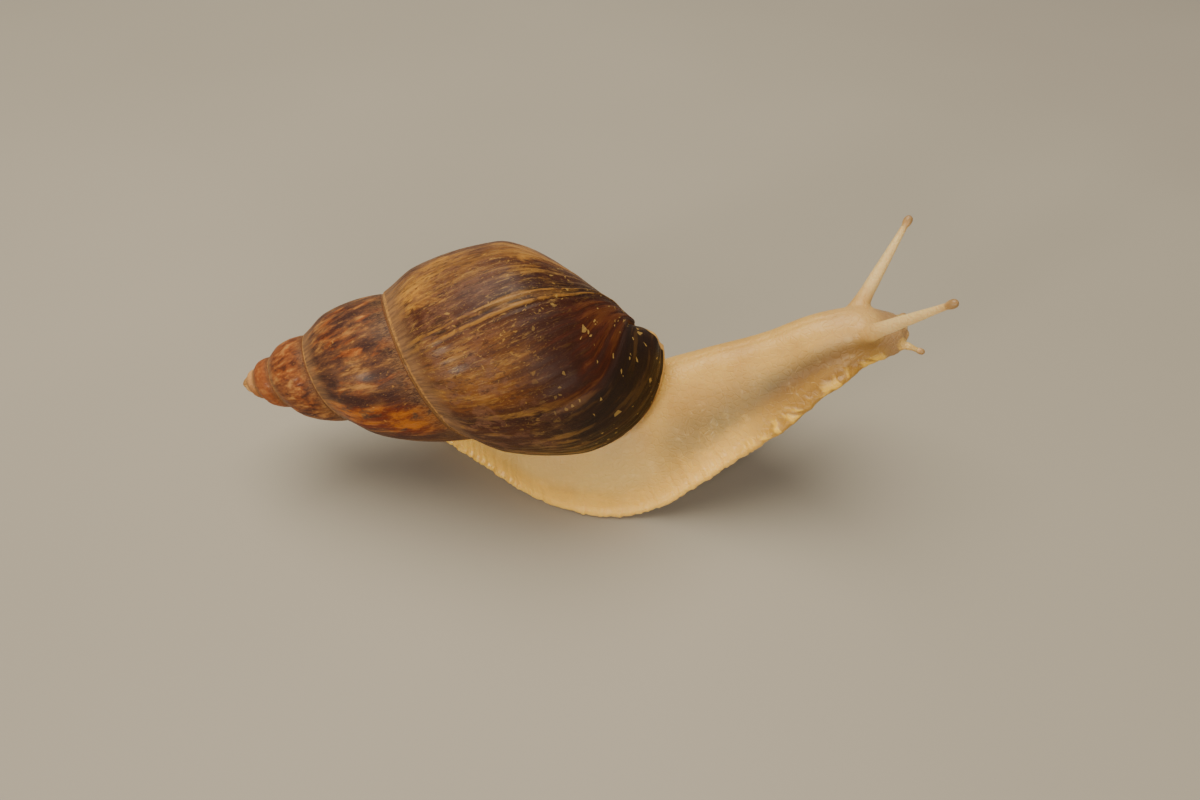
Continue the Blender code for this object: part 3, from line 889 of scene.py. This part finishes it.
def near_roots(points):
    """1 where a tentacle grows out of the head, fading around it; less at the mantle."""
    nearness = np.zeros(len(points))
    for _, side in SIDES:
        for feeler in FEELERS:
            root, aim = feeler_line(feeler, side)
            at, reach = feeler.blend
            away = size_of(points - root - aim * feeler.length * at)
            nearness = np.maximum(nearness, bump(away, 0, reach))
    before, radius, reach = MANTLE_BLEND
    away = size_of(points - place(BASE_AT[0] - before, radius, 0.0))
    return np.maximum(nearness, MANTLE_BLEND_SHARE * bump(away, 0, reach))


# Relief of the skin, mm
WRINKLES = 0.16  # upright, above the margin
FLANK_FOLDS, NECK_FOLDS = 0.16, 0.07
FURROW, FRONT_FURROW = 0.08, 0.16  # over the margin, and what is added in front
GATHER = 0.50  # where the neck draws in above the front of the foot
KNOBS = 0.35
NETS = ((0.032, 1.5, 0.8, 50), (0.016, 0.75, 0.85, 90))  # depth, cell size, stretch, shift
NET_LINE = 0.16  # width of a net's furrows, in cells
NECK_GROOVE, MOUTH_SLIT = 0.12, 0.45
MUZZLE_CREASES, STALK_RINGS = 0.06, 0.018
OTHER_SIDE = 500.0  # mm further along the noise, so that the left side has its own folds
RESTING = 0.06  # mm, height up to which the skin lies on the floor


def cells(points, size):
    """Depth of a net of fine furrows, 1 on the furrows and 0 inside its cells."""
    gaps = np.empty(len(points))
    for k, point in enumerate(points / size):
        distances, _ = noise.voronoi(point)
        gaps[k] = distances[1] - distances[0]
    return bump(gaps, 0, NET_LINE)


def skin_relief(points):
    """Height of the skin's relief on a smooth body, mm, and what the material reads."""
    s, lateral, up = body_places(points)
    foot, _, _, bottom, height = station(s)
    upper, lower = (feeler_share(points, feeler) for feeler in FEELERS)
    on_feeler = np.maximum(ease(upper, 0.08, 0.20), ease(lower, 0.1, 0.3))
    on_trunk = 1 - on_feeler
    above, aside = up - bottom, np.abs(lateral)
    share_up = np.clip(above / (height - bottom), 0, 1.3)
    outward = ease(aside / np.maximum(foot, 1), 0.55, 0.85)
    side = np.where(lateral > 0, 0.0, OTHER_SIDE)

    # upright wrinkles above the margin, strongest over the standing part of the foot
    crowd = 0.5 * wander(above + side, 2.6, SEED + 50)
    wrinkle = wander(s + crowd + side, 0.95, SEED + 51) + 0.7 * wander(s + crowd, 0.55, SEED + 52)
    low = np.exp(-np.clip(above + 0.6, 0, None) / 4.2) * outward * ease(s, 60, 35)
    relief = WRINKLES * wrinkle * low
    # soft folds down the flank and along the neck
    folds = wander(s + 0.35 * above + side, 6.5, SEED + 53) * bump(share_up, 0.35, 0.3)
    relief += FLANK_FOLDS * folds * ease(s, 66, 54)
    folds = wander(above * 1.3 + 0.15 * s + side, 2.2, SEED + 54)
    relief += NECK_FOLDS * folds * bump(s, 55, 22)
    # the furrow between the foot's margin and the flank
    furrow = bump(above, 0.8, 1.0) * outward * ease(s, SOLE_END, SOLE_END - 5)
    relief -= (FURROW + FRONT_FURROW * ease(s, 34, 56)) * furrow
    # the neck draws in above the front of the foot
    fold = bump(above, 3.0, 1.9) * ease(aside, 3, 6)
    relief -= GATHER * fold * ease(s, 38, 54) * ease(s, 70, 66) * on_trunk
    # knobs along the front of the margin
    lumps = wander(s + side, 1.2, SEED + 57) + 0.7 * wander(0.7 * s + 1.3 * above, 0.8, SEED + 58)
    knob = ease(lumps, -0.35, 0.65) * ease(s, 34, 46) * outward * bump(above, -0.2, 1.2)
    relief += KNOBS * knob
    # two nets of furrows in the skin, fainter where it is wrinkled or folded
    smooth = on_trunk * (1 - 0.6 * low) * (1 - 0.6 * fold)
    for depth, size, stretch, shift in NETS:
        net = cells(columns(s * stretch, lateral, up) + shift, size)
        relief -= depth * net * smooth
    # the groove along the middle of the neck, the mouth's slit and creases round it
    top = ease(share_up, 0.85, 0.97) * ease(s, 18, 28) * ease(s, 68, 63)
    relief -= NECK_GROOVE * bump(lateral, 0, 0.45) * top
    relief -= MOUTH_SLIT * bump(lateral, 0, 0.35) * ease(s, 74, 75.2) * ease(up, 4.2, 3.0)
    muzzle = ease(s, 69.5, 73.5) * on_trunk
    relief += MUZZLE_CREASES * wander(lateral * 1.5 + 20, 0.6, SEED + 55) * muzzle
    # rings on the drawn-out tentacles, very faint
    relief += STALK_RINGS * wander(upper * 60, 1.0, SEED + 56) * on_feeler * (upper > 0)

    return relief, {
        "along": s,
        "above": above,
        "share_up": share_up,
        "feeler": np.maximum(upper, lower),
        "upper_feeler": upper,
        "margin": np.exp(-np.clip(above - 0.2, 0, None) / 3.2) * outward,
        # where the material paints shade into the furrow at the front of the foot
        "furrow": furrow * ease(s, 44, 60),
        "muzzle": muzzle,
        "knob": knob,
        # where the material paints shade under the cheek, in the fold above the front of the foot
        "cheek_shade": bump(above, 3.0, 2.5) * ease(aside, 3, 5.5) * on_trunk * ease(s, 36, 54),
        "under": smoothstep((0.5 * bottom - up) / 0.6) * (1 - 0.5 * outward),
    }


def skin():
    """One skin over the whole animal, with its folds, furrows and rippled margin."""
    piece = remeshed(joined_flesh())
    mesh = piece.data
    points = numbers(mesh.vertices, "co") / MM
    edges = numbers(mesh.edges, "vertices", 2, np.int32)
    points = relaxed(points, edges, SMOOTHING, np.full(len(points), SMOOTHING_WEIGHT))
    points = relaxed(points, edges, BLEND_PASSES, BLEND_WEIGHT * near_roots(points))
    relief, data = skin_relief(points)
    points = points + normals(mesh, points) * relief[:, None]
    points[:, 2] = np.where(points[:, 2] < RESTING, 0.0, points[:, 2])
    normals(mesh, points)
    return with_data(piece, data)


BULB_PROFILE = (
    (-2.2, 0.60), (-1.8, 0.64), (-1.4, 0.73), (-0.95, 0.88), (-0.5, 0.98), (0.0, 1.0),
    (0.45, 0.93), (0.8, 0.76), (1.02, 0.52), (1.14, 0.28), (1.19, 0.1),
)  # along the tentacle and out from it, in radii of the bulb
BULB_STEPS, BULB_SIDES = 40, 32
BULB_SMOOTHING = 3  # passes over its profile
DIMPLE = 0.02  # by which it is out of round


def bulb(feeler, side, name):
    """The swollen tip of a tentacle, drawn out to meet the stalk it sits on."""
    root, aim = feeler_line(feeler, side)
    profile_at = np.array(BULB_PROFILE)
    along = np.linspace(profile_at[0, 0], profile_at[-1, 0], BULB_STEPS)
    radii = np.interp(along, profile_at[:, 0], profile_at[:, 1]) * feeler.bulb
    kernel = np.array([0.25, 0.5, 0.25])
    for _ in range(BULB_SMOOTHING):
        radii[1:-1] = np.convolve(radii, kernel, "valid")
    centre = root + aim * feeler.length
    points = centre + aim * (along * feeler.bulb)[:, None]
    turn = TAU * np.arange(BULB_SIDES) / BULB_SIDES
    dimple = 1 + DIMPLE * np.cos(3 * turn) * np.sin(2 * turn + 0.7)
    rings = tube_rings(points, radii, BULB_SIDES)
    parts = ([], [])
    loft(parts, [at + (ring - at) * dimple[:, None] for at, ring in zip(points, rings)])
    return with_data(mesh_object(name, *parts), {"tip": np.repeat(along, BULB_SIDES)})


# ---------------------------------------------------------------- materials
DEPTH = 1.3  # how much deeper a shader's colour is than its look on screen
RICHNESS = 1.6  # and how much more saturated
DULL, LINEAR_PART = 0.04045, 12.92  # of the curve between screen and linear colours


def rgb(red, green, blue):
    """A shader's colour for one that shall look like this, 0 to 255, under the lights."""
    channels = []
    for value in (red, green, blue):
        value /= 255
        curved = value > DULL
        channels.append(((value + 0.055) / 1.055) ** 2.4 if curved else value / LINEAR_PART)
    peak = max(channels)
    return (*(peak**DEPTH * (channel / peak) ** RICHNESS for channel in channels), 1.0)


def worked_by(operation):
    """A method by which a Math node works out a value from this one and others."""

    def method(self, *others):
        inputs = dict(enumerate((self, *others)))
        return self.shade.value("Math", inputs, operation=operation)

    return method


class Value:
    """A number or colour that a material's nodes work out."""

    def __init__(self, shade, socket):
        self.shade, self.socket = shade, socket

    __add__, __sub__ = worked_by("ADD"), worked_by("SUBTRACT")
    __mul__, __truediv__ = worked_by("MULTIPLY"), worked_by("DIVIDE")
    __lt__, __gt__ = worked_by("LESS_THAN"), worked_by("GREATER_THAN")
    __abs__, or_more = worked_by("ABSOLUTE"), worked_by("MAXIMUM")

    def span(self, low, high, to_low=0.0, to_high=1.0):
        """The number's place from low to high, eased and clamped."""
        inputs = {"Value": self, "From Min": low, "From Max": high}
        inputs |= {"To Min": to_low, "To Max": to_high}
        return self.shade.value("MapRange", inputs, "Result", interpolation_type="SMOOTHSTEP")


class Shader:
    """A Principled material with short names for adding nodes."""

    def __init__(self, name):
        self.material = bpy.data.materials.new(name)
        self.material.use_nodes = True
        self.tree = self.material.node_tree
        self.main = self.tree.nodes["Principled BSDF"]

    def feed(self, socket, value):
        if isinstance(value, Value):
            self.tree.links.new(value.socket, socket)
        else:
            socket.default_value = value

    def node(self, kind, inputs, **settings):
        made = self.tree.nodes.new("ShaderNode" + kind)
        for name, value in settings.items():
            setattr(made, name, value)
        for name, value in inputs.items():
            self.feed(made.inputs[name], value)
        return made

    def value(self, kind, inputs, output=0, **settings):
        return Value(self, self.node(kind, inputs, **settings).outputs[output])

    def read(self, *names):
        return [self.value("Attribute", {}, "Fac", attribute_name=name) for name in names]

    def object_place(self):
        return self.value("TexCoord", {}, "Object")

    def vector(self, x, y):
        return self.value("CombineXYZ", {"X": x, "Y": y}, "Vector")

    def noise(self, vector, scale, detail=3.0, roughness=0.5, distortion=0.0):
        inputs = {"Vector": vector, "Scale": scale, "Detail": detail}
        inputs |= {"Roughness": roughness, "Distortion": distortion}
        return self.value("TexNoise", inputs, "Fac")

    def cells(self, vector, scale, output, **settings):
        inputs = {"Vector": vector, "Scale": scale, "Randomness": 1.0}
        return self.value("TexVoronoi", inputs, output, **settings)

    def cell_edges(self, vector, scale, **settings):
        """Distance from the edge of the nearest cell."""
        return self.cells(vector, scale, "Distance", feature="DISTANCE_TO_EDGE", **settings)

    def mix(self, share, under, over, blend="MIX"):
        inputs = {"Factor": share, 6: under, 7: over}  # 6 and 7 are the node's colours
        return self.value("Mix", inputs, 2, data_type="RGBA", blend_type=blend)

    def layered(self, colour, *coats):
        """A colour under coats of others with their shares; plain colours run to 255."""
        shown = [c if isinstance(c, Value) else rgb(*c) for c in (colour, *(c for _, c in coats))]
        for (share, _), coat in zip(coats, shown[1:]):
            shown[0] = self.mix(share, shown[0], coat)
        return shown[0]

    def ramp(self, value, stops):
        made = self.node("ValToRGB", {"Fac": value})
        points = made.color_ramp.elements
        while len(points) < len(stops):
            points.new(1.0)
        for point, (at, colour) in zip(points, stops):
            point.position = at
            point.color = rgb(*colour)
        return Value(self, made.outputs["Color"])

    def set(self, **values):
        for name, value in values.items():
            self.feed(self.main.inputs[name.replace("_", " ")], value)

    def finish(self, colour, roughness, *bumps):
        """Sets colour, roughness and bumps, which are pairs of a height and its metres."""
        self.set(Base_Color=colour, Roughness=roughness)
        last = {}
        for height, depth in bumps:
            inputs = {"Height": height, "Distance": depth, "Strength": 1.0, **last}
            last = {"Normal": self.value("Bump", inputs, "Normal")}
        self.set(**last)
        return self.material


# Colours of the last whorl by growth, in turns back from the lip: upper part, lower part
WHORL_COLOURS = (
    (0.000, (62, 38, 24), (46, 30, 20)),
    (0.060, (80, 50, 30), (40, 27, 20)),
    (0.098, (88, 54, 32), (46, 31, 22)),
    (0.112, (66, 40, 26), (38, 24, 18)),
    (0.140, (120, 80, 42), (66, 38, 20)),
    (0.180, (140, 102, 58), (72, 41, 23)),
    (0.215, (118, 82, 56), (64, 36, 23)),
    (0.236, (90, 60, 46), (58, 34, 25)),
    (0.258, (88, 60, 48), (62, 37, 27)),
    (0.300, (112, 78, 56), (84, 52, 36)),
    (0.352, (164, 126, 76), (124, 84, 52)),
    (0.395, (132, 98, 70), (118, 80, 52)),
    (0.440, (104, 74, 62), (100, 66, 50)),
    (0.500, (150, 116, 76), (110, 74, 50)),
    (0.560, (156, 120, 78), (112, 76, 50)),
    (0.600, (112, 84, 66), (92, 62, 46)),
    (0.660, (142, 106, 72), (96, 64, 46)),
    (0.760, (124, 92, 66), (88, 58, 42)),
    (1.000, (126, 92, 62), (82, 54, 42)),
)
# Colours of the spire from its dark to its light flames: as new, and worn
FLAMES = (0.38, 0.47, 0.55, 0.64)
NEW_SPIRE = ((100, 62, 42), (144, 94, 56), (162, 114, 70), (188, 146, 96))
WORN_SPIRE = ((78, 53, 46), (101, 73, 59), (122, 90, 65), (164, 128, 86))
# The colours were chosen under a glossier coat, so they are lifted by these factors.
LAST_WHORL_LIFT = (1.22, 1.33, 1.34, 1)
SPIRE_LIFT = (1.08, 1.12, 1.18, 1)

# Stripes along growth lines, in turns: turns back, half-width and, for grooves, strength
PALE_CRESTS = ((0.236, 0.0040), (0.250, 0.0030))
DARK_GROOVES = (
    (0.243, 0.0030, 0.75),
    (0.405, 0.0035, 0.6),
    (0.432, 0.0040, 0.8),
    (0.612, 0.0040, 0.7),
)
# Flakes: cells in a mm, share of cells, where they start and end behind the lip, first row
FLAKES = ((0.42, 0.030, 0.24, 0.36, 5.0), (1.15, 0.045, 0.30, 0.42, 4.0))
FLAKE_GAP = 0.24  # from a flake to the edge of its cell
SUTURE_ROW = 5.0


def last_whorl_colour(shade, field, drawn):
    """Streaks and blotches of the last whorl, and its share of plain dark new skin."""
    line, row, broad, thin, hair, blotch = field
    sway = (drawn(1.6, 0.32) - 0.5) * 0.030
    upper = shade.ramp(line + sway, [(at, high) for at, high, _ in WHORL_COLOURS])
    lower = shade.ramp(line + sway, [(at, low) for at, _, low in WHORL_COLOURS])
    patch = drawn(1.9, 0.20, 5.0, 0.66, 0.8)
    flecks = drawn(2.2, 1.6, 2.0, 0.4, 1.2)
    marks = drawn(2.0, 1.1, 4.0, 0.6, 0.8)
    aged = line.span(0.08, 0.22) * row.span(6.0, 9.0, 1.0, 0.75)
    aged = aged.or_more(row.span(8.0, 4.5, 0.10, 0.55))
    colour = shade.layered(
        upper,
        (row.span(3.0, 6.6), lower),
        (broad.span(0.51, 0.62, 0, 0.60), (78, 48, 38)),
        (broad.span(0.48, 0.38, 0, 0.50), (168, 132, 82)),
        (patch.span(0.49, 0.61, 0, 0.50), (86, 52, 40)),
        (patch.span(0.49, 0.35, 0, 0.75) * line.span(0.24, 0.34), (184, 142, 82)),
        (blotch.span(0.49, 0.60) * row.span(6.5, 2.5, 0.1, 0.7), (122, 90, 72)),
        (thin.span(0.54, 0.64, 0, 0.55) * aged, (58, 38, 34)),
        (thin.span(0.45, 0.36, 0, 0.40) * aged, (178, 146, 98)),
        (hair.span(0.58, 0.68, 0, 0.40) * aged, (50, 34, 30)),
        (hair.span(0.42, 0.33, 0, 0.30) * aged, (186, 158, 112)),
        (flecks.span(0.64, 0.72, 0, 0.45) * aged, (184, 152, 98)),
        (marks.span(0.55, 0.64) * row.span(7.5, 3.5, 0.15, 0.65), (78, 51, 41)),
    )

    uneven = line + (thin - 0.5) * 0.010
    ragged = blotch.span(0.60, 0.45, 0.10, 0.80)
    bitten = blotch.span(0.58, 0.44)
    for back, width in PALE_CRESTS:
        crest = abs(uneven - back).span(width, 0.3 * width) * ragged
        colour = shade.layered(colour, (crest, (158, 122, 74)))
    for back, width, strength in DARK_GROOVES:
        groove = abs(uneven - back).span(width, 0.3 * width) * bitten
        colour = shade.layered(colour, (groove * strength, (58, 38, 34)))

    # the lower half of the newest growth keeps its plain dark skin
    dark = row.span(4.2, 7.2) * line.span(0.234, 0.205)
    newest = shade.layered((62, 41, 24), (broad.span(0.40, 0.60), (45, 31, 22)))
    plain = shade.layered(
        (96, 50, 18),
        (broad.span(0.38, 0.60), (66, 35, 14)),
        (line.span(0.118, 0.100), newest),
    )
    return shade.layered(colour, (dark * 0.80, plain)), dark


def spire_colour(shade, turn, field, drawn):
    """Brown with worn grey-mauve clouds, orange where the next whorl laps over it."""
    _, _, _, thin, hair, blotch = field
    clouds = drawn(2.2, 0.22, 5.0, 0.62, 0.4)
    flames = drawn(1.5, 0.40, 6.0, 0.62, 0.3)
    marks = drawn(2.6, 1.1, 3.0, 0.6, 0.8)
    worn = shade.ramp(flames, list(zip(FLAMES, WORN_SPIRE)))
    ember = turn.span(1.158, 1.135) * turn.span(1.055, 1.080) * blotch.span(0.62, 0.50)
    glow = shade.layered((118, 62, 30), (flames.span(0.42, 0.60), (176, 122, 58)))
    calm = turn.span(1.5, 2.3, 1.0, 0.25)
    return shade.layered(
        shade.ramp(flames, list(zip(FLAMES, NEW_SPIRE))),
        (clouds.span(0.38, 0.52) * turn.span(2.6, 1.6, 0.15, 1.0), worn),
        (ember, glow),
        (turn.span(1.075, 1.045) * thin.span(0.40, 0.56, 0.45, 1), (82, 48, 40)),
        (turn.span(1.19, 1.165) * turn.span(1.14, 1.155) * 0.8, (74, 46, 42)),
        (thin.span(0.55, 0.66, 0, 0.45) * calm, (82, 52, 44)),
        (hair.span(0.57, 0.68, 0, 0.30) * calm, (192, 148, 96)),
        (marks.span(0.60, 0.70, 0, 0.45), (84, 56, 48)),
        (marks.span(0.36, 0.28, 0, 0.50), (204, 164, 104)),
        (turn.span(2.1, 2.9, 0.0, 0.55), (158, 106, 66)),
        (turn.span(3.9, 4.7), (222, 184, 134)),
    )


def shell_material():
    """Streaked brown periostracum, worn and paler towards the apex."""
    shade = Shader("shell_periostracum")
    line, turn, growth, row, gap = shade.read("line", "turn", "growth", "row", "from_suture")

    def drawn(stretch, *settings):
        """Noise drawn out along the growth lines, as streaks."""
        return shade.noise(shade.vector(growth, row * stretch), *settings)

    broad = drawn(0.60, 0.42, 4.0, 0.6)
    thin = drawn(0.55, 1.15, 6.0, 0.7)
    hair = drawn(0.9, 5.0, 3.0, 0.7)
    field = (line, row, broad, thin, hair, drawn(3.0, 0.35, 6.0, 0.68, 0.5))
    last, dark = last_whorl_colour(shade, field, drawn)
    spire = spire_colour(shade, turn, field, drawn)

    # paler, greyer and wrinkled under the suture, a thin pale rim on it, scratched where lapped
    reach = gap / turn.span(0.0, 3.0, 1.0, 0.25)
    pale = shade.layered((120, 98, 82), (thin.span(0.35, 0.65), (166, 136, 104)))
    crimp = shade.noise(shade.vector(growth, gap), 1.2, 3.0, 0.7).span(0.40, 0.60, 0.20, 0.95)
    lapped = abs(row - SUTURE_ROW).span(1.3, 0.1) * turn.span(1.0, 1.02)
    scratch = shade.layered((74, 54, 48), (hair.span(0.42, 0.58), (144, 118, 90)))
    colour = shade.layered(
        shade.mix(1.0, last, LAST_WHORL_LIFT, "MULTIPLY"),
        (turn.span(0.96, 1.06), shade.mix(1.0, spire, SPIRE_LIFT, "MULTIPLY")),
        (reach.span(7.0, 1.0, 0.0, 0.78), pale),
        (reach.span(0.95, 0.45) * crimp, (190, 154, 104)),
        (lapped * 0.62, scratch),
    )

    # loose flakes of pale skin: many small ones near the lip, few larger ones elsewhere
    for scale, share, near, far, low_row in FLAKES:
        at = shade.vector(growth, gap)
        drawing = shade.cells(at, scale, "Color", voronoi_dimensions="2D")
        chosen = shade.value("SeparateColor", {"Color": drawing}, "Red") < share
        inside = shade.cell_edges(at, scale, voronoi_dimensions="2D") > FLAKE_GAP
        where = line.span(far, near) * row.span(low_row, low_row + 4)
        colour = shade.layered(colour, (chosen * inside * where * 0.8, (176, 152, 104)))

    # the lip: pale in front, thin and dark below
    front = row.span(9.0, 12.0)
    rim = (turn / (front * 0.0130 + 0.0040)).span(1.0, 0.6)
    end = row.span(13.62, 13.74) * turn.span(0.20, 0.14)
    edge = shade.layered((120, 78, 44), (front, (214, 182, 128)))
    colour = shade.layered(colour, (rim.or_more(end), edge))

    rough = thin.span(0.35, 0.65, 0.30, 0.48) + dark * 0.16
    rough = rough + turn.span(0.9, 1.5, 0.0, 0.14) + reach.span(5.0, 1.0, 0.0, 0.12)
    grain = shade.noise(shade.object_place(), 2600.0, 3.0, 0.6)
    shade.set(Coat_Weight=0.05, Coat_Roughness=0.20, Specular_IOR_Level=0.20)
    return shade.finish(colour, rough, (thin, 0.00016), (grain, 0.00002))


def skin_material():
    """Moist cream skin, golden at the foot's margin, with painted shade low on the flank, in the
    front furrow and under the cheek, and painted light on the back under the shell.
    """
    shade = Shader("skin_cream")
    along, above, share_up, feeler = shade.read("along", "above", "share_up", "feeler")
    margin, cheek_shade, knob, furrow = shade.read("margin", "cheek_shade", "knob", "furrow")
    muzzle, under, upper_feeler = shade.read("muzzle", "under", "upper_feeler")
    at = shade.object_place()
    cloud = shade.noise(at, 90.0, 3.0, 0.5)
    mottle = shade.noise(at, 420.0, 4.0, 0.6)

    # painted shade: greyer low on the flank, weaker towards the tail under the shell
    low = share_up.span(0.78, 0.36) * above.span(1.5, 5.0) * cloud.span(0.25, 0.7, 0.60, 1.0)
    low = low * along.span(14.0, 34.0, 0.20, 1.0)
    gold = margin * mottle.span(0.3, 0.7, 0.7, 1.0)
    colour = shade.layered(
        (207, 174, 114),
        (cloud.span(0.35, 0.65), (220, 189, 127)),
        # painted shade low on the flank
        (low, (148, 134, 104)),
        (gold, (250, 215, 136)),
        (gold * mottle.span(0.46, 0.62, 0, 0.6), (236, 200, 118)),
        # painted light: paler back under the shell, lifting the shell's shadow on it
        (along.span(24, 8, 0, 0.5) * above.span(3.0, 7.0), (222, 200, 152)),
        (along.span(58, 66, 0, 0.35), (208, 182, 146)),
        # painted shade under the cheek
        (cheek_shade * 0.85, (140, 110, 72)),
        (margin * along.span(30.0, 52.0, 0.0, 0.92), (178, 146, 80)),
        (knob.span(0.1, 0.9, 0, 0.75), (240, 208, 116)),
        # painted shade in the furrow between the front of the foot's margin and the flank
        (furrow * 0.55, (150, 116, 68)),
        (muzzle * 0.85, (170, 144, 114)),
        (mottle.span(0.56, 0.74, 0, 0.20), (236, 214, 168)),
        (under * 0.85, (206, 190, 164)),
        (upper_feeler.span(0.10, 0.4, 0.0, 0.85), (230, 208, 164)),
        ((feeler - upper_feeler).span(0.1, 0.5, 0.0, 0.8), (208, 184, 138)),
        (feeler.span(0.80, 0.97, 0.0, 0.6), (206, 174, 126)),
    )
    net = shade.cell_edges(at, 720.0).span(0.0, 0.16)
    grain = shade.noise(at, 3200.0, 2.0, 0.6)
    wet = mottle.span(0.35, 0.7, 0.50, 0.36) - margin * 0.08
    shade.set(Subsurface_Weight=0.35, Subsurface_Radius=(1.0, 0.68, 0.42))
    shade.set(Subsurface_Scale=0.0022, Coat_Weight=0.12, Coat_Roughness=0.22, IOR=1.4)
    return shade.finish(colour, wet, (net, 0.00005), (grain, 0.00001))


def bulb_material():
    """Tan tip of a tentacle, paler towards the stalk and darker at its crown."""
    shade = Shader("bulb_tan")
    (tip,) = shade.read("tip")
    mottle = shade.noise(shade.object_place(), 900.0, 3.0, 0.6)
    tans = ((212, 184, 140), (200, 170, 126), (182, 154, 114), (168, 142, 106))
    colour = shade.ramp(tip.span(-2.2, 1.2), list(zip((0.0, 0.30, 0.60, 1.0), tans)))
    colour = shade.layered(colour, (mottle.span(0.5, 0.7, 0, 0.35), (162, 130, 92)))
    shade.set(Subsurface_Weight=0.3, Subsurface_Radius=(1.0, 0.6, 0.38))
    shade.set(Subsurface_Scale=0.0012, Coat_Weight=0.12, Coat_Roughness=0.22)
    return shade.finish(colour, 0.44, (mottle, 0.00004))


# ---------------------------------------------------------------- stage
FLOOR_REACH = 1500.0  # mm
FLOOR_GAP = 0.05  # mm, below the sole


def floor():
    """A plain pale floor under the sole."""
    signs = ((-1, -1), (1, -1), (1, 1), (-1, 1))
    corners = [(x * FLOOR_REACH, y * FLOOR_REACH, -FLOOR_GAP) for x, y in signs]
    made = mesh_object("floor", corners, [(0, 1, 2, 3)])
    shade = Shader("floor_pale")
    soft = shade.noise(shade.object_place(), 6.0, 2.0)
    colour = shade.layered((170, 163, 154), (soft, (180, 173, 164)))
    made.data.materials.append(shade.finish(colour, 0.65))


# Lamps: name, place and aim in metres, width and height in metres, watts, colour, sheen
LAMPS = (
    ("overhead", (-0.15, 0.15, 0.9), (0, 0, 0.02), (0.9, 0.9), 13.5, (1, 0.95, 0.77), 0.35),
    ("window", (-0.75, -0.75, 0.3), (-0.02, 0, 0.03), (0.13, 0.16), 4.5, (1, 0.94, 0.78), 2.6),
    ("fill", (0.25, -0.95, 0.4), (0, 0, 0.02), (0.8, 0.5), 5.5, (1, 0.95, 0.78), 0.0),
)
WORLD_COLOUR, WORLD_STRENGTH = (0.96, 0.98, 1.0, 1), 0.20
LENS, SENSOR, NEAREST = 24.0, 36.0, 0.005  # mm, mm, m
CAMERA_AT = (6.0, -128.5, 148.6)  # mm
CAMERA_TILT = math.radians(45)


def area_light(name, place_at, aim_at, size, watts, colour, sheen):
    lamp = bpy.data.lights.new(name, "AREA")
    lamp.shape = "RECTANGLE"
    lamp.size, lamp.size_y = size
    lamp.energy = watts
    lamp.color = colour
    lamp.specular_factor = sheen
    made = placed(name, lamp)
    made.location = place_at
    made.rotation_euler = (Vector(aim_at) - Vector(place_at)).to_track_quat("-Z", "Y").to_euler()


def studio():
    """Soft light from above, a low window to the left of the camera and a weak fill."""
    for lamp in LAMPS:
        area_light(*lamp)
    world = bpy.data.worlds.new("studio")
    world.use_nodes = True
    background = world.node_tree.nodes["Background"]
    background.inputs["Color"].default_value = WORLD_COLOUR
    background.inputs["Strength"].default_value = WORLD_STRENGTH
    bpy.context.scene.world = world


def camera():
    """The viewing angle of the reference: above the animal's right side."""
    lens = bpy.data.cameras.new("camera")
    lens.lens, lens.sensor_width, lens.clip_start = LENS, SENSOR, NEAREST
    made = placed("camera", lens)
    made.location = Vector(CAMERA_AT) * MM
    made.rotation_euler = (CAMERA_TILT, 0, 0)
    bpy.context.scene.camera = made


# ---------------------------------------------------------------- the scene
SHELL_NODES = (
    "shell_apex",
    "shell_third_whorl",
    "shell_penultimate_whorl",
    "shell_body_whorl",
    "shell_lip",
)
BULBS = (("eye_bulb", UPPER_TENTACLE), ("lower_tentacle_tip", LOWER_TENTACLE))


def dress(piece, finish, nodes):
    """Gives a piece its material and its place on the body, and hides the CAD nodes it stands for.
    """
    piece.data.materials.clear()
    piece.data.materials.append(finish)
    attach(piece, "root")
    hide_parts(*nodes)


def build():
    dress(shell(), shell_material(), SHELL_NODES)
    tan = bulb_material()
    stood_for = set(SHELL_NODES)
    for label, feeler in BULBS:
        for name, side in SIDES:
            node = f"{label}_{name}"
            dress(bulb(feeler, side, f"snail_{node}"), tan, [node])
            stood_for.add(node)
    flesh_nodes = sorted(set(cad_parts) - stood_for)
    dress(skin(), skin_material(), flesh_nodes)
    floor()
    studio()
    camera()


build()
